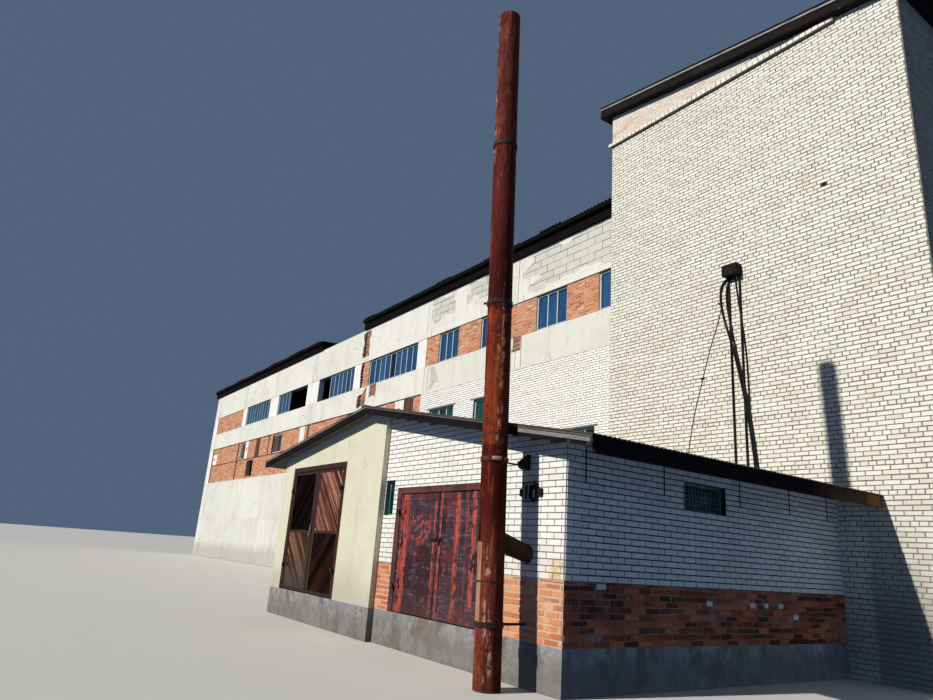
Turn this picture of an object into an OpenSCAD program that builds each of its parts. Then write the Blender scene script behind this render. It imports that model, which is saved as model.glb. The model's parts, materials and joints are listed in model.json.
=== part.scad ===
// Factory building in 1:2 scale: a long two-storey range, a tall white brick
// block with a mono-pitch roof, a low garage with two pairs of hinged doors and
// a leaning steel flue. X runs along the long front, Y goes into the building,
// Z is up and z = 0 is the ground. Millimetres.

/* [Tall block] */
// width of the tall block along the front
block_w = 3400; // [2800:10:4200]
// depth of the tall block
block_d = 7200; // [6000:10:9000]
// height of the block's wall at its high left corner
block_h = 6275; // [5000:5:7500]
// fall of the block's roof per unit of width
block_slope = 0.14; // [0.05:0.01:0.25]
// thickness of the block's brick walls
block_wall = 190; // [120:5:260]
// thickness of the block's roof
block_roof_t = 165; // [100:5:220]
// overhang of the block's roof at the high side
block_over_left = 140; // [50:5:250]
// overhang of the block's roof at the low side
block_over_right = 150; // [50:5:250]
// overhang of the block's roof at front and back
block_over_front = 75; // [30:5:150]
// drop from the wall's high corner to the underside of the brick course
course_drop = 450; // [300:5:700]
// height of the projecting brick course
course_h = 50; // [25:5:100]
// projection of the brick course
course_out = 35; // [10:5:60]

/* [Cable bracket] */
// left side of the junction box on the block's front
bracket_x = -112; // [-800:1:800]
// width of the junction box
bracket_w = 165; // [80:1:250]
// underside of the junction box
bracket_z = 3540; // [2500:5:5000]
// height of the junction box
bracket_h = 110; // [60:1:200]
// projection of the junction box
bracket_out = 95; // [40:1:150]
// radius of each riser pipe
riser_r = 10; // [5:1:20]
// distance of the riser pipes in from the box's sides
riser_in = 22; // [10:1:40]
// gap between the riser pipes and the garage roof
riser_gap = 5; // [2:1:20]

/* [Long range] */
// distance from the block's face back to the range's face
setback = 1200; // [0:10:2500]
// number of bays
bays = 7; // [3:1:9]
// length of a bay
bay = 2920; // [2400:10:3200]
// width of the white post at the far end
end_post = 450; // [200:10:700]
// last stretch between the last bay line and the block
last_stretch = 370; // [100:10:700]
// thickness of the range's walls
range_wall = 150; // [100:5:220]
// top of the plain wall under the lower strip
lower_sill = 2500; // [2000:5:3000]
// top of the lower strip
lower_head = 3715; // [3200:5:4000]
// top of the band between the strips
upper_sill = 4275; // [3900:5:4500]
// top of the upper window strip
upper_head = 4880; // [4600:5:5200]
// top of the parapet at the front face
parapet_top = 5715; // [5300:5:6200]
// rise of the range's roof per unit of depth, up to its ridge
range_slope = 0.09; // [0.03:0.01:0.2]
// thickness of the roof deck
deck_t = 170; // [80:5:250]
// overhang of the roof deck
deck_over = 50; // [20:5:200]
// thickness of the roof sheets with their battens
sheet_t = 70; // [30:5:120]
// overhang of the roof sheets
sheet_over = 110; // [60:5:250]
// overhang of the roof at the far end
range_over_end = 175; // [50:5:300]
// far end of the broken stretch of the roof edge, in bays from the last bay line
gap_from = 3.84; // [0.5:0.01:7]
// near end of the broken stretch of the roof edge, in bays from the last bay line
gap_to = 3; // [0:0.01:6]
// how far the deck is broken back from the front
gap_depth = 650; // [100:10:1500]
// thickness of the floors
floor_t = 100; // [60:5:150]
// underside of the first floor
first_floor_z = 2000; // [1500:5:2400]
// underside of the second floor
second_floor_z = 3775; // [3715:5:4100]
// height of the ground slab
ground_slab = 60; // [30:5:120]
// length of the lower storey's white brick stretch, in bays from the last bay line
brick_bays = 2.02; // [1:0.01:3]
// how far the red brick lies behind the face of the wall
infill_in = 12; // [4:1:40]

/* [Range windows] */
// sill of the windows in the lower strip's red brick
small_sill = 3140; // [2900:5:3300]
// head of the windows in the lower strip's red brick
small_head = 3670; // [3400:5:3710]
// bottom of the gap in the lower strip's red brick
gap_sill = 2560; // [2510:5:2800]
// top of the gap in the lower strip's red brick
gap_head = 3063; // [2850:1:3100]
// sill of the two wide windows in the white brick
wide_sill = 2735; // [2500:5:2900]
// head of the two wide windows in the white brick
wide_head = 3335; // [3100:5:3600]
// sill of the low window in the white brick
low_sill = 1950; // [1700:5:2150]
// head of the low window in the white brick
low_head = 2550; // [2300:5:2650]
// width of a window frame's members
frame_w = 28; // [15:1:50]
// depth of a window frame
frame_d = 50; // [30:1:80]
// distance of the frames behind the wall's face
frame_in = 35; // [0:1:80]
// thickness of the glass
glass_t = 8; // [4:1:15]

/* [Garage] */
// left side of the garage
garage_x0 = -3510; // [-4200:5:-2800]
// right side of the garage
garage_x1 = 806; // [400:2:1400]
// distance from the block's face to the garage's brick front
garage_d = 2980; // [2400:5:3600]
// where plaster changes to brick on the front
plaster_end = -1340; // [-2000:5:-900]
// how far the plaster wall stands proud of the brick
plaster_out = 50; // [10:5:90]
// thickness of the garage's brick walls
garage_wall = 130; // [80:5:200]
// top of the concrete base
base_h = 245; // [100:5:400]
// top of the red brick plinth
plinth_top = 595; // [400:5:800]
// position of the ridge
ridge_x = -1560; // [-2500:5:-500]
// height of the roof's top face at the ridge
ridge_z = 1867; // [1600:1:2200]
// position of the right eave
eave_x = 1140; // [900:5:1400]
// fall of the right slope per unit of width
right_slope = 0.185; // [0.1:0.005:0.25]
// position of the left eave
left_eave_x = -3895; // [-4300:5:-3600]
// fall of the left slope per unit of width
left_slope = 0.14; // [0.08:0.005:0.2]
// thickness of the garage roof, its boards and sheets together
garage_roof_t = 60; // [40:1:100]
// height of the waves of the corrugated sheets
wave_h = 9; // [6:0.5:24]
// pitch of the waves
wave_pitch = 38; // [34:1:100]
// thickness of the corrugated sheets
wave_t = 2; // [1:0.5:6]
// gap between the sheets of the two slopes, under the ridge cap
ridge_gap = 24; // [10:1:60]
// clearance between the ridge cap and the sheets' crests
cap_clear = 0.3; // [0.1:0.1:1]
// how far the sheets reach past the boards along the edges
wave_past = 12; // [5:1:40]
// width of the ridge cap to each side
cap_w = 70; // [40:1:120]
// overhang of the garage roof past the brick front
verge_over = 135; // [80:5:250]
// thickness of the boards along the roof's edges
edge_board_t = 22; // [10:1:40]
// height of the eave board
eave_board_h = 104; // [60:1:150]
// height of the verge boards
verge_board_h = 72; // [40:1:120]

/* [Plank doors] */
// left side of the plank doorway
plank_x0 = -3268; // [-3400:1:-2800]
// right side of the plank doorway
plank_x1 = -2018; // [-2400:1:-1600]
// top of the plank doorway
plank_top = 1431; // [1200:1:1500]
// width of the plank doorway's frame
plank_frame_w = 45; // [25:1:70]
// thickness of a plank leaf
plank_t = 25; // [15:1:40]
// width of a plank leaf's rails and outer stile
plank_rail_w = 24; // [15:1:50]
// width of a plank leaf's meeting stile
plank_stile_w = 56; // [30:1:80]
// height of a plank leaf's middle rail above its lower edge
plank_mid = 535; // [300:1:800]
// how far a plank leaf's rails stand proud of its boards
plank_proud = 8; // [3:1:12]
// distance of the plank leaves behind the plaster face
plank_in = 7; // [2:1:30]

/* [Red doors] */
// left side of the red doorway
red_x0 = -1130; // [-1250:1:-900]
// right side of the red doorway
red_x1 = 94; // [-100:1:250]
// top of the red doorway
red_top = 1165; // [1000:1:1300]
// width of the red doorway's posts
red_post_w = 58; // [30:1:80]
// height of the red doorway's lintel
red_lintel_h = 45; // [25:1:70]
// thickness of a red leaf
red_t = 25; // [15:1:40]
// width of a red leaf's stiles and rails
red_rail_w = 48; // [25:1:70]
// how far a red leaf's rails stand proud of its boards
red_proud = 5; // [2:1:12]
// height of the red leaves' hasp above their lower edges
hasp_z = 520; // [300:1:700]
// distance of the red leaves behind the brick face
red_in = 4; // [2:1:30]
// depth of both doorways' frames
door_frame_d = 62; // [40:1:90]
// gap between a leaf and its frame
leaf_gap = 8; // [6:0.5:14]
// gap between the two leaves of a pair
pair_gap = 10; // [8:0.5:16]

/* [Door hinges] */
// heights of the hinges as shares of the leaf's height
hinge_at = [0.18, 0.82];
// radius of the hinge pins
pin_r = 5; // [4:0.5:8]
// clearance between a pin and its eye
pin_clear = 0.05; // [0.02:0.01:0.1]
// wall of the eye round the pin
eye_wall = 5; // [3:0.5:8]
// height of the eye and of its plate
eye_h = 24; // [16:1:40]
// gap between the eye and the arm that it stands over
eye_gap = 2; // [1:0.5:4]
// distance of the pins' axes in front of the leaves
hinge_out = 18; // [16:1:30]
// height of the arm that carries the pin
arm_h = 12; // [8:1:20]
// width of the arm on the post
arm_w = 10; // [6:1:20]
// length of the plate on the leaf
plate_len = 70; // [40:1:160]
// thickness of the plate
plate_t = 6; // [3:1:8]
// how far the frames stand in front of the leaves
frame_proud = 2; // [0:0.5:6]

/* [Garage windows] */
// left side of the small front window
front_win_x = -1325; // [-1330:1:-1200]
// width of the small front window
front_win_w = 140; // [80:1:180]
// sill of the small front window
front_win_z = 955; // [700:1:1100]
// height of the small front window
front_win_h = 275; // [150:1:350]
// distance of the side window from the brick front
side_win_y = 1045; // [500:5:1800]
// width of the side window
side_win_w = 450; // [250:5:700]
// sill of the side window
side_win_z = 1073; // [900:1:1150]
// height of the side window
side_win_h = 186; // [120:1:250]
// width of the garage windows' frame members
small_frame_w = 14; // [8:1:25]

/* [Flue] */
// position of the flue's foot along the front
flue_x = 500; // [300:1:700]
// distance of the flue's axis in front of the brick face
flue_out = 260; // [150:1:400]
// outer radius of the flue
flue_r = 78; // [50:1:110]
// wall of the flue
flue_wall = 8; // [4:1:15]
// thickness of the plate that closes the flue's foot
flue_foot_t = 12; // [4:1:30]
// height of the flue
flue_h = 4560; // [3500:5:5500]
// lean of the flue to the left per unit of height
flue_lean = 0.038; // [0:0.001:0.08]
// radius of the pipe that joins the flue to the garage, at the flue
link_flue_r = 61; // [40:1:75]
// radius of that pipe at the wall
link_wall_r = 52; // [30:1:70]
// how far the pipe runs to the right on its way to the wall
link_shift = 20; // [0:1:60]
// height of the link pipe at the flue
link_flue_z = 790; // [600:1:1000]
// height of the link pipe at the wall
link_wall_z = 723; // [600:1:1000]
// height of a clamp band
band_h = 28; // [15:1:50]
// thickness of a clamp band
band_t = 6; // [3:1:10]
// heights of the clamp bands' lower edges
band_z = [321, 1236, 2240, 3420];
// length of the bolted lug on the third clamp band
lug_len = 26; // [10:1:50]
// thickness of the lug
lug_t = 12; // [6:1:20]
// turn of the lug from straight ahead to the left, in degrees
lug_turn = 37; // [0:1:90]
// side of a brace bar
brace_w = 14; // [8:1:24]
// underside of the small box on the flue
flue_box_z = 784; // [600:1:900]
// height of the small box
flue_box_h = 96; // [50:1:140]
// width of the small box
flue_box_w = 36; // [20:1:60]
// how far the small box stands out from the flue
flue_box_out = 9; // [4:1:20]
// turn of the small box from straight ahead to the left, in degrees
flue_box_turn = 16; // [0:1:90]

/* [Wall fittings] */
// position of the lamp along the front
lamp_x = 463; // [300:1:700]
// width of the lamp's housing
lamp_w = 42; // [24:1:80]
// underside of the lamp at the wall
lamp_z = 1224; // [1100:1:1300]
// height of the lamp's housing at the wall
lamp_h = 94; // [60:1:120]
// projection of the lamp
lamp_out = 74; // [50:1:150]
// drop of the housing's top from the wall to its front edge
lamp_drop = 56; // [20:1:80]
// how far the front glass leans back from its upper edge
lamp_lean = 29; // [10:1:40]
// radius of the lamp's round glass
lamp_glass_r = 26; // [15:1:40]
// thickness of the rim round the glass
lamp_rim_t = 7; // [3:1:15]
// left side of the meter box
meter_x = 450; // [350:1:600]
// width of the meter box
meter_w = 118; // [60:1:150]
// underside of the meter box
meter_z = 1028; // [900:1:1150]
// height of the meter box
meter_h = 112; // [60:1:160]
// projection of the meter box
meter_out = 30; // [20:1:80]
// reach of the bar behind the meter box to each side
ear_reach = 42; // [20:1:80]
// height of that bar
ear_h = 44; // [20:1:80]
// projection of that bar
ear_out = 18; // [6:1:20]
// distances of the roof straps from the brick front
strap_y = [148, 845, 1655, 2275, 2810];
// width of a roof strap
strap_w = 9; // [6:1:30]
// thickness of a roof strap
strap_t = 6; // [3:1:12]
// foot of the roof straps
strap_z = 1145; // [1000:1:1250]

/* [Hidden] */
$fn = 48;

face_y = -block_d / 2;                 // face of the tall block
back_y = block_d / 2;                  // shared rear face
range_y = face_y + setback;            // face of the range
range_mid = (range_y + back_y) / 2;    // ridge line of the range
block_x0 = -block_w / 2;
block_x1 = block_w / 2;
last_line = block_x0 - last_stretch;   // last bay line before the block
range_x0 = last_line - bays * bay - end_post;
course_z = block_h - course_drop;
brick_y = face_y - garage_d;           // brick front of the garage
plaster_y = brick_y - plaster_out;     // plaster front of the garage
inner_y = brick_y + garage_wall;       // inside of the garage's front walls
verge_y = brick_y - verge_over;
edge_y = verge_y - edge_board_t;       // front of the boards along the verge
ridge_top = parapet_top + range_slope * (range_mid - range_y) + deck_t + sheet_t;
flue_y = brick_y - flue_out;
plank_leaf_w = (plank_x1 - plank_x0 - 2 * plank_frame_w - 2 * leaf_gap - pair_gap) / 2;
red_leaf_w = (red_x1 - red_x0 - 2 * red_post_w - 2 * leaf_gap - pair_gap) / 2;
leaf_z = base_h + pair_gap;            // lower edge of all leaves
plank_leaf_h = plank_top - plank_frame_w - leaf_gap - leaf_z;
red_leaf_h = red_top - red_lintel_h - leaf_gap - leaf_z;
eye_r = pin_r + eye_wall;

// bays are counted from the block, 0 first, and spans in a bay are shares of its
// length from its far side
// windows of the front's upper strip: bay, start, end
upper_windows = [[5, 0.135, 0.885], [4, 0.13, 0.415], [3, 0.38, 0.87], [2, 0.13, 0.88],
    [1, 0.155, 0.39], [1, 0.635, 0.865], [0, 0.165, 0.415], [0, 0.65, 0.895]];
// white piers of the front's upper strip
upper_piers = [[5, 0, 0.135], [5, 0.885, 1.13], [4, 0.88, 1.145], [3, 0.87, 1], [2, 0.88, 1]];
// red brick in the front's upper strip, with whole bays of it past the seventh
upper_bricks = concat([for (k = [6 : 1 : bays - 1]) [k, 0, 1]],
    [[2, 0, 0.13], [1, 0, 0.155], [1, 0.39, 0.635], [1, 0.865, 1.165], [0, 0.415, 0.65],
    [0, 0.895, 1 + last_stretch / bay]]);
// windows in the lower strip's red brick: bay, start, end, sill, head
lower_windows = [[5, 0.115, 0.27, small_sill, small_head],
    [4, 0.125, 0.37, small_sill, small_head]];
// dark gap in the lower strip's red brick where the window is missing
lower_gap = [5, 0.385, 0.595, gap_sill, gap_head];
// windows in the white brick stretch
brick_windows = [[1, 0.11, 0.395, wide_sill, wide_head], [1, 0.615, 0.9, wide_sill, wide_head],
    [0, 0.41, 0.64, low_sill, low_head]];
// windows of each rear strip: start and end within every bay
rear_window = [0.135, 0.885];

function line_x(k) = last_line - k * bay;
function in_bay(k, share) = last_line - (k + 1 - share) * bay;
function in_range(list) = [for (w = list) if (w[0] < bays) w];
function block_under(x) = block_h - block_slope * (x - block_x0);
function garage_top(x) = x > ridge_x ? ridge_z - right_slope * (x - ridge_x)
    : ridge_z - left_slope * (ridge_x - x);
function garage_under(x) = garage_top(x) - garage_roof_t;
function boards_top(x) = garage_top(x) - wave_h - wave_t;
function range_under(y) = parapet_top + range_slope * (range_mid - range_y - abs(y - range_mid));

module span_box(x0, x1, y0, y1, z0, z1) {
    translate([x0, y0, z0]) cube([x1 - x0, y1 - y0, z1 - z0]);
}

// a wall standing across Y whose outline is drawn in X and Z
module upright(points, y0, y1) {
    translate([0, y1, 0]) rotate([90, 0, 0]) linear_extrude(y1 - y0) polygon(points);
}

// a wall standing across X whose outline is drawn in Y and Z
module sideways(points, x0, x1) {
    translate([x0, 0, 0]) rotate([90, 0, 90]) linear_extrude(x1 - x0) polygon(points);
}

module window_frame(x0, x1, y0, z0, z1, w, d) {
    difference() {
        span_box(x0, x1, y0, y0 + d, z0, z1);
        span_box(x0 + w, x1 - w, y0 - 1, y0 + d + 1, z0 + w, z1 - w);
    }
}

module pane(x0, x1, y0, z0, z1, w, d) {
    span_box(x0 + w, x1 - w, y0 + (d - glass_t) / 2, y0 + (d + glass_t) / 2, z0 + w, z1 - w);
}

module block_outline_wall(y0, y1) {
    upright([[block_x0, 0], [block_x1, 0], [block_x1, block_under(block_x1)],
        [block_x0, block_under(block_x0)]], y0, y1);
}

module block_front_wall() {
    color("#e3dcc4") block_outline_wall(face_y, face_y + block_wall);
}

module block_back_wall() {
    color("#e3dcc4") block_outline_wall(back_y - block_wall, back_y);
}

module block_side(x0, x1) {
    upright([[x0, 0], [x1, 0], [x1, block_under(x1)], [x0, block_under(x0)]],
        face_y + block_wall, back_y - block_wall);
}

module block_left_wall() {
    color("#ddd6be") block_side(block_x0, block_x0 + block_wall);
}

module block_right_wall() {
    color("#ddd6be") block_side(block_x1 - block_wall, block_x1);
}

module block_roof() {
    xl = block_x0 - block_over_left;
    xr = block_x1 + block_over_right;
    color("#3a3634") upright([[xl, block_under(xl)], [xr, block_under(xr)],
        [xr, block_under(xr) + block_roof_t], [xl, block_under(xl) + block_roof_t]],
        face_y - block_over_front, back_y + block_over_front);
}

module string_course() {
    x_end = min(block_x1, block_x0 + (course_drop - course_h) / block_slope);
    color("#cfc7ae") span_box(block_x0 - course_out, x_end, face_y - course_out, face_y,
        course_z, course_z + course_h);
}

module cable_bracket() {
    left_pipe = bracket_x + riser_in;
    right_pipe = bracket_x + bracket_w - riser_in;
    color("#1d1d20") {
        span_box(bracket_x, bracket_x + bracket_w, face_y - bracket_out, face_y,
            bracket_z, bracket_z + bracket_h);
        for (x = [left_pipe, right_pipe])
            translate([x, face_y - riser_r - riser_gap, garage_top(x) + riser_gap])
                cylinder(r = riser_r, h = bracket_z - garage_top(x));
    }
}

module floors() {
    x0 = range_x0 + range_wall;
    y0 = range_y + range_wall;
    y1 = back_y - range_wall;
    color("#8d8a84") {
        for (z = [0, first_floor_z, second_floor_z])
            span_box(x0, block_x0, y0, y1, z, z + (z == 0 ? ground_slab : floor_t));
        span_box(block_x0 + block_wall, block_x1 - block_wall, face_y + block_wall,
            back_y - block_wall, 0, ground_slab);
    }
}

module range_end_wall() {
    color("#e9e4d6") sideways([[range_y, 0], [back_y, 0], [back_y, range_under(back_y)],
        [range_mid, range_under(range_mid)], [range_y, range_under(range_y)]],
        range_x0, range_x0 + range_wall);
}

module range_base_wall() {
    color("#e0d9c6") span_box(range_x0 + range_wall, line_x(brick_bays), range_y,
        range_y + range_wall, 0, lower_sill);
}

// a hole right through the range's front wall
module front_hole(w) {
    span_box(in_bay(w[0], w[1]), in_bay(w[0], w[2]), range_y - 1, range_y + range_wall + 1,
        w[3], w[4]);
}

module range_lower_infill() {
    color("#b8694a") difference() {
        span_box(line_x(bays), line_x(brick_bays), range_y + infill_in, range_y + range_wall,
            lower_sill, lower_head);
        for (w = in_range(concat(lower_windows, [lower_gap]))) front_hole(w);
    }
}

module range_brick_wall() {
    color("#efebdd") difference() {
        span_box(line_x(brick_bays), block_x0, range_y, range_y + range_wall, 0, lower_head);
        for (w = in_range(brick_windows)) front_hole(w);
    }
}

module range_spandrel() {
    color("#e6e0d0") span_box(range_x0 + range_wall, block_x0, range_y, range_y + range_wall,
        lower_head, upper_sill);
}

module strip_pieces(list, y0) {
    for (p = in_range(list))
        span_box(in_bay(p[0], p[1]), in_bay(p[0], p[2]), y0, range_y + range_wall,
            upper_sill, upper_head);
}

module range_upper_infill() {
    color("#b8694a") strip_pieces(upper_bricks, range_y + infill_in);
}

module range_piers() {
    color("#ece8dc") {
        strip_pieces(upper_piers, range_y);
        for (z = [[lower_sill, lower_head], [upper_sill, upper_head]])
            span_box(range_x0 + range_wall, line_x(bays), range_y, range_y + range_wall,
                z[0], z[1]);
    }
}

module range_parapet() {
    color("#e6e0d0") sideways([[range_y, upper_head], [range_y + range_wall, upper_head],
        [range_y + range_wall, range_under(range_y + range_wall)], [range_y, range_under(range_y)]],
        range_x0 + range_wall, block_x0);
}

module range_back_bands() {
    x0 = range_x0 + range_wall;
    y0 = back_y - range_wall;
    color("#e0d9c6") {
        span_box(x0, block_x0, y0, back_y, 0, lower_sill);
        span_box(x0, block_x0, y0, back_y, lower_head, upper_sill);
        sideways([[y0, upper_head], [back_y, upper_head], [back_y, range_under(back_y)],
            [y0, range_under(y0)]], x0, block_x0);
    }
}

module range_back_piers() {
    y0 = back_y - range_wall;
    color("#ece8dc") for (z = [[lower_sill, lower_head], [upper_sill, upper_head]]) {
        span_box(range_x0 + range_wall, in_bay(bays - 1, rear_window[0]), y0, back_y,
            z[0], z[1]);
        for (k = [1 : bays - 1])
            span_box(in_bay(k, rear_window[1]), in_bay(k - 1, rear_window[0]), y0, back_y,
                z[0], z[1]);
        span_box(in_bay(0, rear_window[1]), block_x0, y0, back_y, z[0], z[1]);
    }
}

// one layer of the range's roof, with its underside lift above the walls
module roof_layer(lift, t, over) {
    front = range_y - over;
    back = back_y + over;
    sideways([[front, range_under(front) + lift], [range_mid, range_under(range_mid) + lift],
        [back, range_under(back) + lift], [back, range_under(back) + lift + t],
        [range_mid, range_under(range_mid) + lift + t], [front, range_under(front) + lift + t]],
        range_x0 - range_over_end, block_x0);
}

module range_roof_deck() {
    color("#4a4744") difference() {
        roof_layer(0, deck_t, deck_over);
        span_box(line_x(gap_from), line_x(gap_to), range_y - deck_over - 1,
            range_y + gap_depth, upper_head, ridge_top);
    }
}

module range_roof_sheets() {
    color("#3c3a38") difference() {
        roof_layer(deck_t, sheet_t, sheet_over);
        span_box(line_x(gap_from), line_x(gap_to), range_y - sheet_over - 1, range_mid,
            upper_head, ridge_top + 1);
    }
}

// each window of the front: bay, start, end, sill, head
function front_windows() = in_range(concat(
    [for (w = upper_windows) [w[0], w[1], w[2], upper_sill, upper_head]],
    lower_windows, brick_windows));

module each_front_window() {
    for (w = front_windows()) {
        $x0 = in_bay(w[0], w[1]);
        $x1 = in_bay(w[0], w[2]);
        $z0 = w[3];
        $z1 = w[4];
        $y0 = range_y + frame_in;
        children();
    }
}

module each_rear_window() {
    for (k = [0 : bays - 1], z = [[lower_sill, lower_head], [upper_sill, upper_head]]) {
        $x0 = in_bay(k, rear_window[0]);
        $x1 = in_bay(k, rear_window[1]);
        $z0 = z[0];
        $z1 = z[1];
        $y0 = back_y - frame_in - frame_d;
        children();
    }
}

module range_window_frames() {
    color("#7fa3a8") {
        each_front_window() window_frame($x0, $x1, $y0, $z0, $z1, frame_w, frame_d);
        each_rear_window() window_frame($x0, $x1, $y0, $z0, $z1, frame_w, frame_d);
    }
}

module window_glass() {
    color([0.25, 0.4, 0.55, 0.6]) {
        each_front_window() pane($x0, $x1, $y0, $z0, $z1, frame_w, frame_d);
        each_rear_window() pane($x0, $x1, $y0, $z0, $z1, frame_w, frame_d);
        pane(front_win_x, front_win_x + front_win_w, brick_y + frame_in, front_win_z,
            front_win_z + front_win_h, small_frame_w, frame_d);
        side_window() pane(0, side_win_w, frame_in, 0, side_win_h, small_frame_w, frame_d);
    }
}

module garage_base() {
    color("#8b8c8a") linear_extrude(base_h) polygon([[garage_x0, plaster_y],
        [plaster_end, plaster_y], [plaster_end, brick_y], [garage_x1, brick_y],
        [garage_x1, face_y], [garage_x0, face_y]]);
}

module garage_plinth() {
    color("#a9583b") {
        span_box(plaster_end, red_x0, brick_y, inner_y, base_h, plinth_top);
        span_box(red_x1, garage_x1, brick_y, inner_y, base_h, plinth_top);
        span_box(garage_x1 - garage_wall, garage_x1, inner_y, face_y, base_h, plinth_top);
    }
}

module brick_wall_beside_door() {
    color("#efebdd") {
        difference() {
            upright([[plaster_end, plinth_top], [red_x0, plinth_top],
                [red_x0, garage_under(red_x0)], [plaster_end, garage_under(plaster_end)]],
                brick_y, inner_y);
            span_box(front_win_x, front_win_x + front_win_w, brick_y - 1, inner_y + 1,
                front_win_z, front_win_z + front_win_h);
        }
        upright([[red_x1, plinth_top], [garage_x1, plinth_top],
            [garage_x1, garage_under(garage_x1)], [red_x1, garage_under(red_x1)]],
            brick_y, inner_y);
    }
}

module brick_wall_over_door() {
    color("#efebdd") upright([[red_x0, red_top], [red_x1, red_top],
        [red_x1, garage_under(red_x1)], [red_x0, garage_under(red_x0)]], brick_y, inner_y);
}

module plaster_wall_beside_door() {
    color("#e4dcc0") {
        upright([[garage_x0, base_h], [plank_x0, base_h], [plank_x0, garage_under(plank_x0)],
            [garage_x0, garage_under(garage_x0)]], plaster_y, inner_y);
        upright([[plank_x1, base_h], [plaster_end, base_h],
            [plaster_end, garage_under(plaster_end)], [ridge_x, garage_under(ridge_x)],
            [plank_x1, garage_under(plank_x1)]], plaster_y, inner_y);
    }
}

module plaster_wall_over_door() {
    color("#e4dcc0") upright([[plank_x0, plank_top], [plank_x1, plank_top],
        [plank_x1, garage_under(plank_x1)], [plank_x0, garage_under(plank_x0)]],
        plaster_y, inner_y);
}

module side_window() {
    translate([garage_x1, brick_y + side_win_y, side_win_z]) rotate([0, 0, 90]) children();
}

module garage_side_wall() {
    xi = garage_x1 - garage_wall;
    color("#efebdd") difference() {
        upright([[xi, plinth_top], [garage_x1, plinth_top],
            [garage_x1, garage_under(garage_x1)], [xi, garage_under(xi)]], inner_y, face_y);
        side_window() span_box(0, side_win_w, -1, garage_wall + 1, 0, side_win_h);
    }
}

module garage_far_walls() {
    xi = garage_x0 + garage_wall;
    yi = face_y - garage_wall;
    color("#e4dcc0") {
        upright([[garage_x0, base_h], [xi, base_h], [xi, garage_under(xi)],
            [garage_x0, garage_under(garage_x0)]], inner_y, face_y);
        upright([[xi, base_h], [block_x0, base_h], [block_x0, garage_under(block_x0)],
            [xi, garage_under(xi)]], yi, face_y);
    }
}

module garage_roof() {
    color("#4b4a4a") upright([[left_eave_x, garage_under(left_eave_x)],
        [ridge_x, garage_under(ridge_x)], [eave_x, garage_under(eave_x)],
        [eave_x, boards_top(eave_x)], [ridge_x, boards_top(ridge_x)],
        [left_eave_x, boards_top(left_eave_x)]], verge_y, face_y);
}

// the sheets of one slope, from the ridge outward: a wave drawn across the slope and
// pushed along it, six points to a wave, then leaned to the slope
module slope_sheets(x0, x1, slope) {
    y0 = edge_y - wave_past;
    rise = [0, 0.25, 0.75, 1, 0.75, 0.25];
    steps = len(rise) * round((face_y - y0) / wave_pitch);
    under = [for (i = [0 : steps]) [y0 + (face_y - y0) * i / steps,
        wave_h * rise[i % len(rise)]]];
    over = [for (i = [steps : -1 : 0]) under[i] + [0, wave_t]];
    translate([0, 0, boards_top(ridge_x)])
        multmatrix([[1, 0, 0, 0], [0, 1, 0, 0], [slope, 0, 1, -slope * ridge_x], [0, 0, 0, 1]])
            sideways(concat(under, over), x0, x1);
}

module garage_roof_sheets() {
    color("#55524f") {
        slope_sheets(ridge_x + ridge_gap / 2, eave_x + edge_board_t + wave_past, -right_slope);
        slope_sheets(left_eave_x - wave_past, ridge_x - ridge_gap / 2, left_slope);
        cap_xs = [ridge_x - cap_w, ridge_x, ridge_x + cap_w];
        upright(concat([for (x = cap_xs) [x, garage_top(x) + cap_clear]],
            [for (i = [2 : -1 : 0]) [cap_xs[i], garage_top(cap_xs[i]) + cap_clear + wave_t]]),
            edge_y - wave_past, face_y);
    }
}

module roof_edge_boards() {
    drop = verge_board_h - garage_roof_t;
    x_end = eave_x + edge_board_t;
    color("#4a4038") {
        span_box(eave_x, x_end, verge_y, face_y, garage_top(eave_x) - eave_board_h,
            boards_top(x_end));
        upright([[left_eave_x, garage_under(left_eave_x) - drop],
            [ridge_x, garage_under(ridge_x) - drop], [x_end, garage_under(x_end) - drop],
            [x_end, boards_top(x_end)], [ridge_x, boards_top(ridge_x)],
            [left_eave_x, boards_top(left_eave_x)]], edge_y, verge_y);
    }
}

module door_frame(x0, x1, top, post_w, head_h, y0) {
    difference() {
        span_box(x0, x1, y0, y0 + door_frame_d, base_h, top);
        span_box(x0 + post_w, x1 - post_w, y0 - 1, y0 + door_frame_d + 1, base_h - 1,
            top - head_h);
    }
}

// puts a leaf or its hinges in place: x_edge is the leaf's hinge edge, y_front its
// front, and a right leaf is turned over to face its own post
module hang(x_edge, y_front, right) {
    translate([x_edge, y_front, leaf_z])
        if (right) mirror([1, 0, 0]) children();
        else children();
}

// the arms and pins that a post carries for a leaf of height h
module pintles(h) {
    for (share = hinge_at) translate([-leaf_gap / 2, -hinge_out, share * h]) {
        cylinder(r = eye_r - 1, h = arm_h);
        translate([-leaf_gap / 2 - arm_w, -eye_wall, 0])
            cube([arm_w, eye_wall + hinge_out - frame_proud, arm_h]);
        cylinder(r = pin_r, h = arm_h + eye_gap + eye_h + eye_gap);
    }
}

// the eyes and plates on the front of a leaf of height h
module hinge_eyes(h) {
    for (share = hinge_at)
        translate([-leaf_gap / 2, -hinge_out, share * h + arm_h + eye_gap])
            difference() {
                union() {
                    cylinder(r = eye_r, h = eye_h);
                    translate([leaf_gap / 4, 0, 0])
                        cube([eye_r - leaf_gap / 4, hinge_out, eye_h]);
                    translate([leaf_gap / 4, hinge_out - plate_t, 0])
                        cube([plate_len, plate_t, eye_h]);
                }
                translate([0, 0, -1]) cylinder(r = pin_r + pin_clear, h = eye_h + 2);
            }
}

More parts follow.
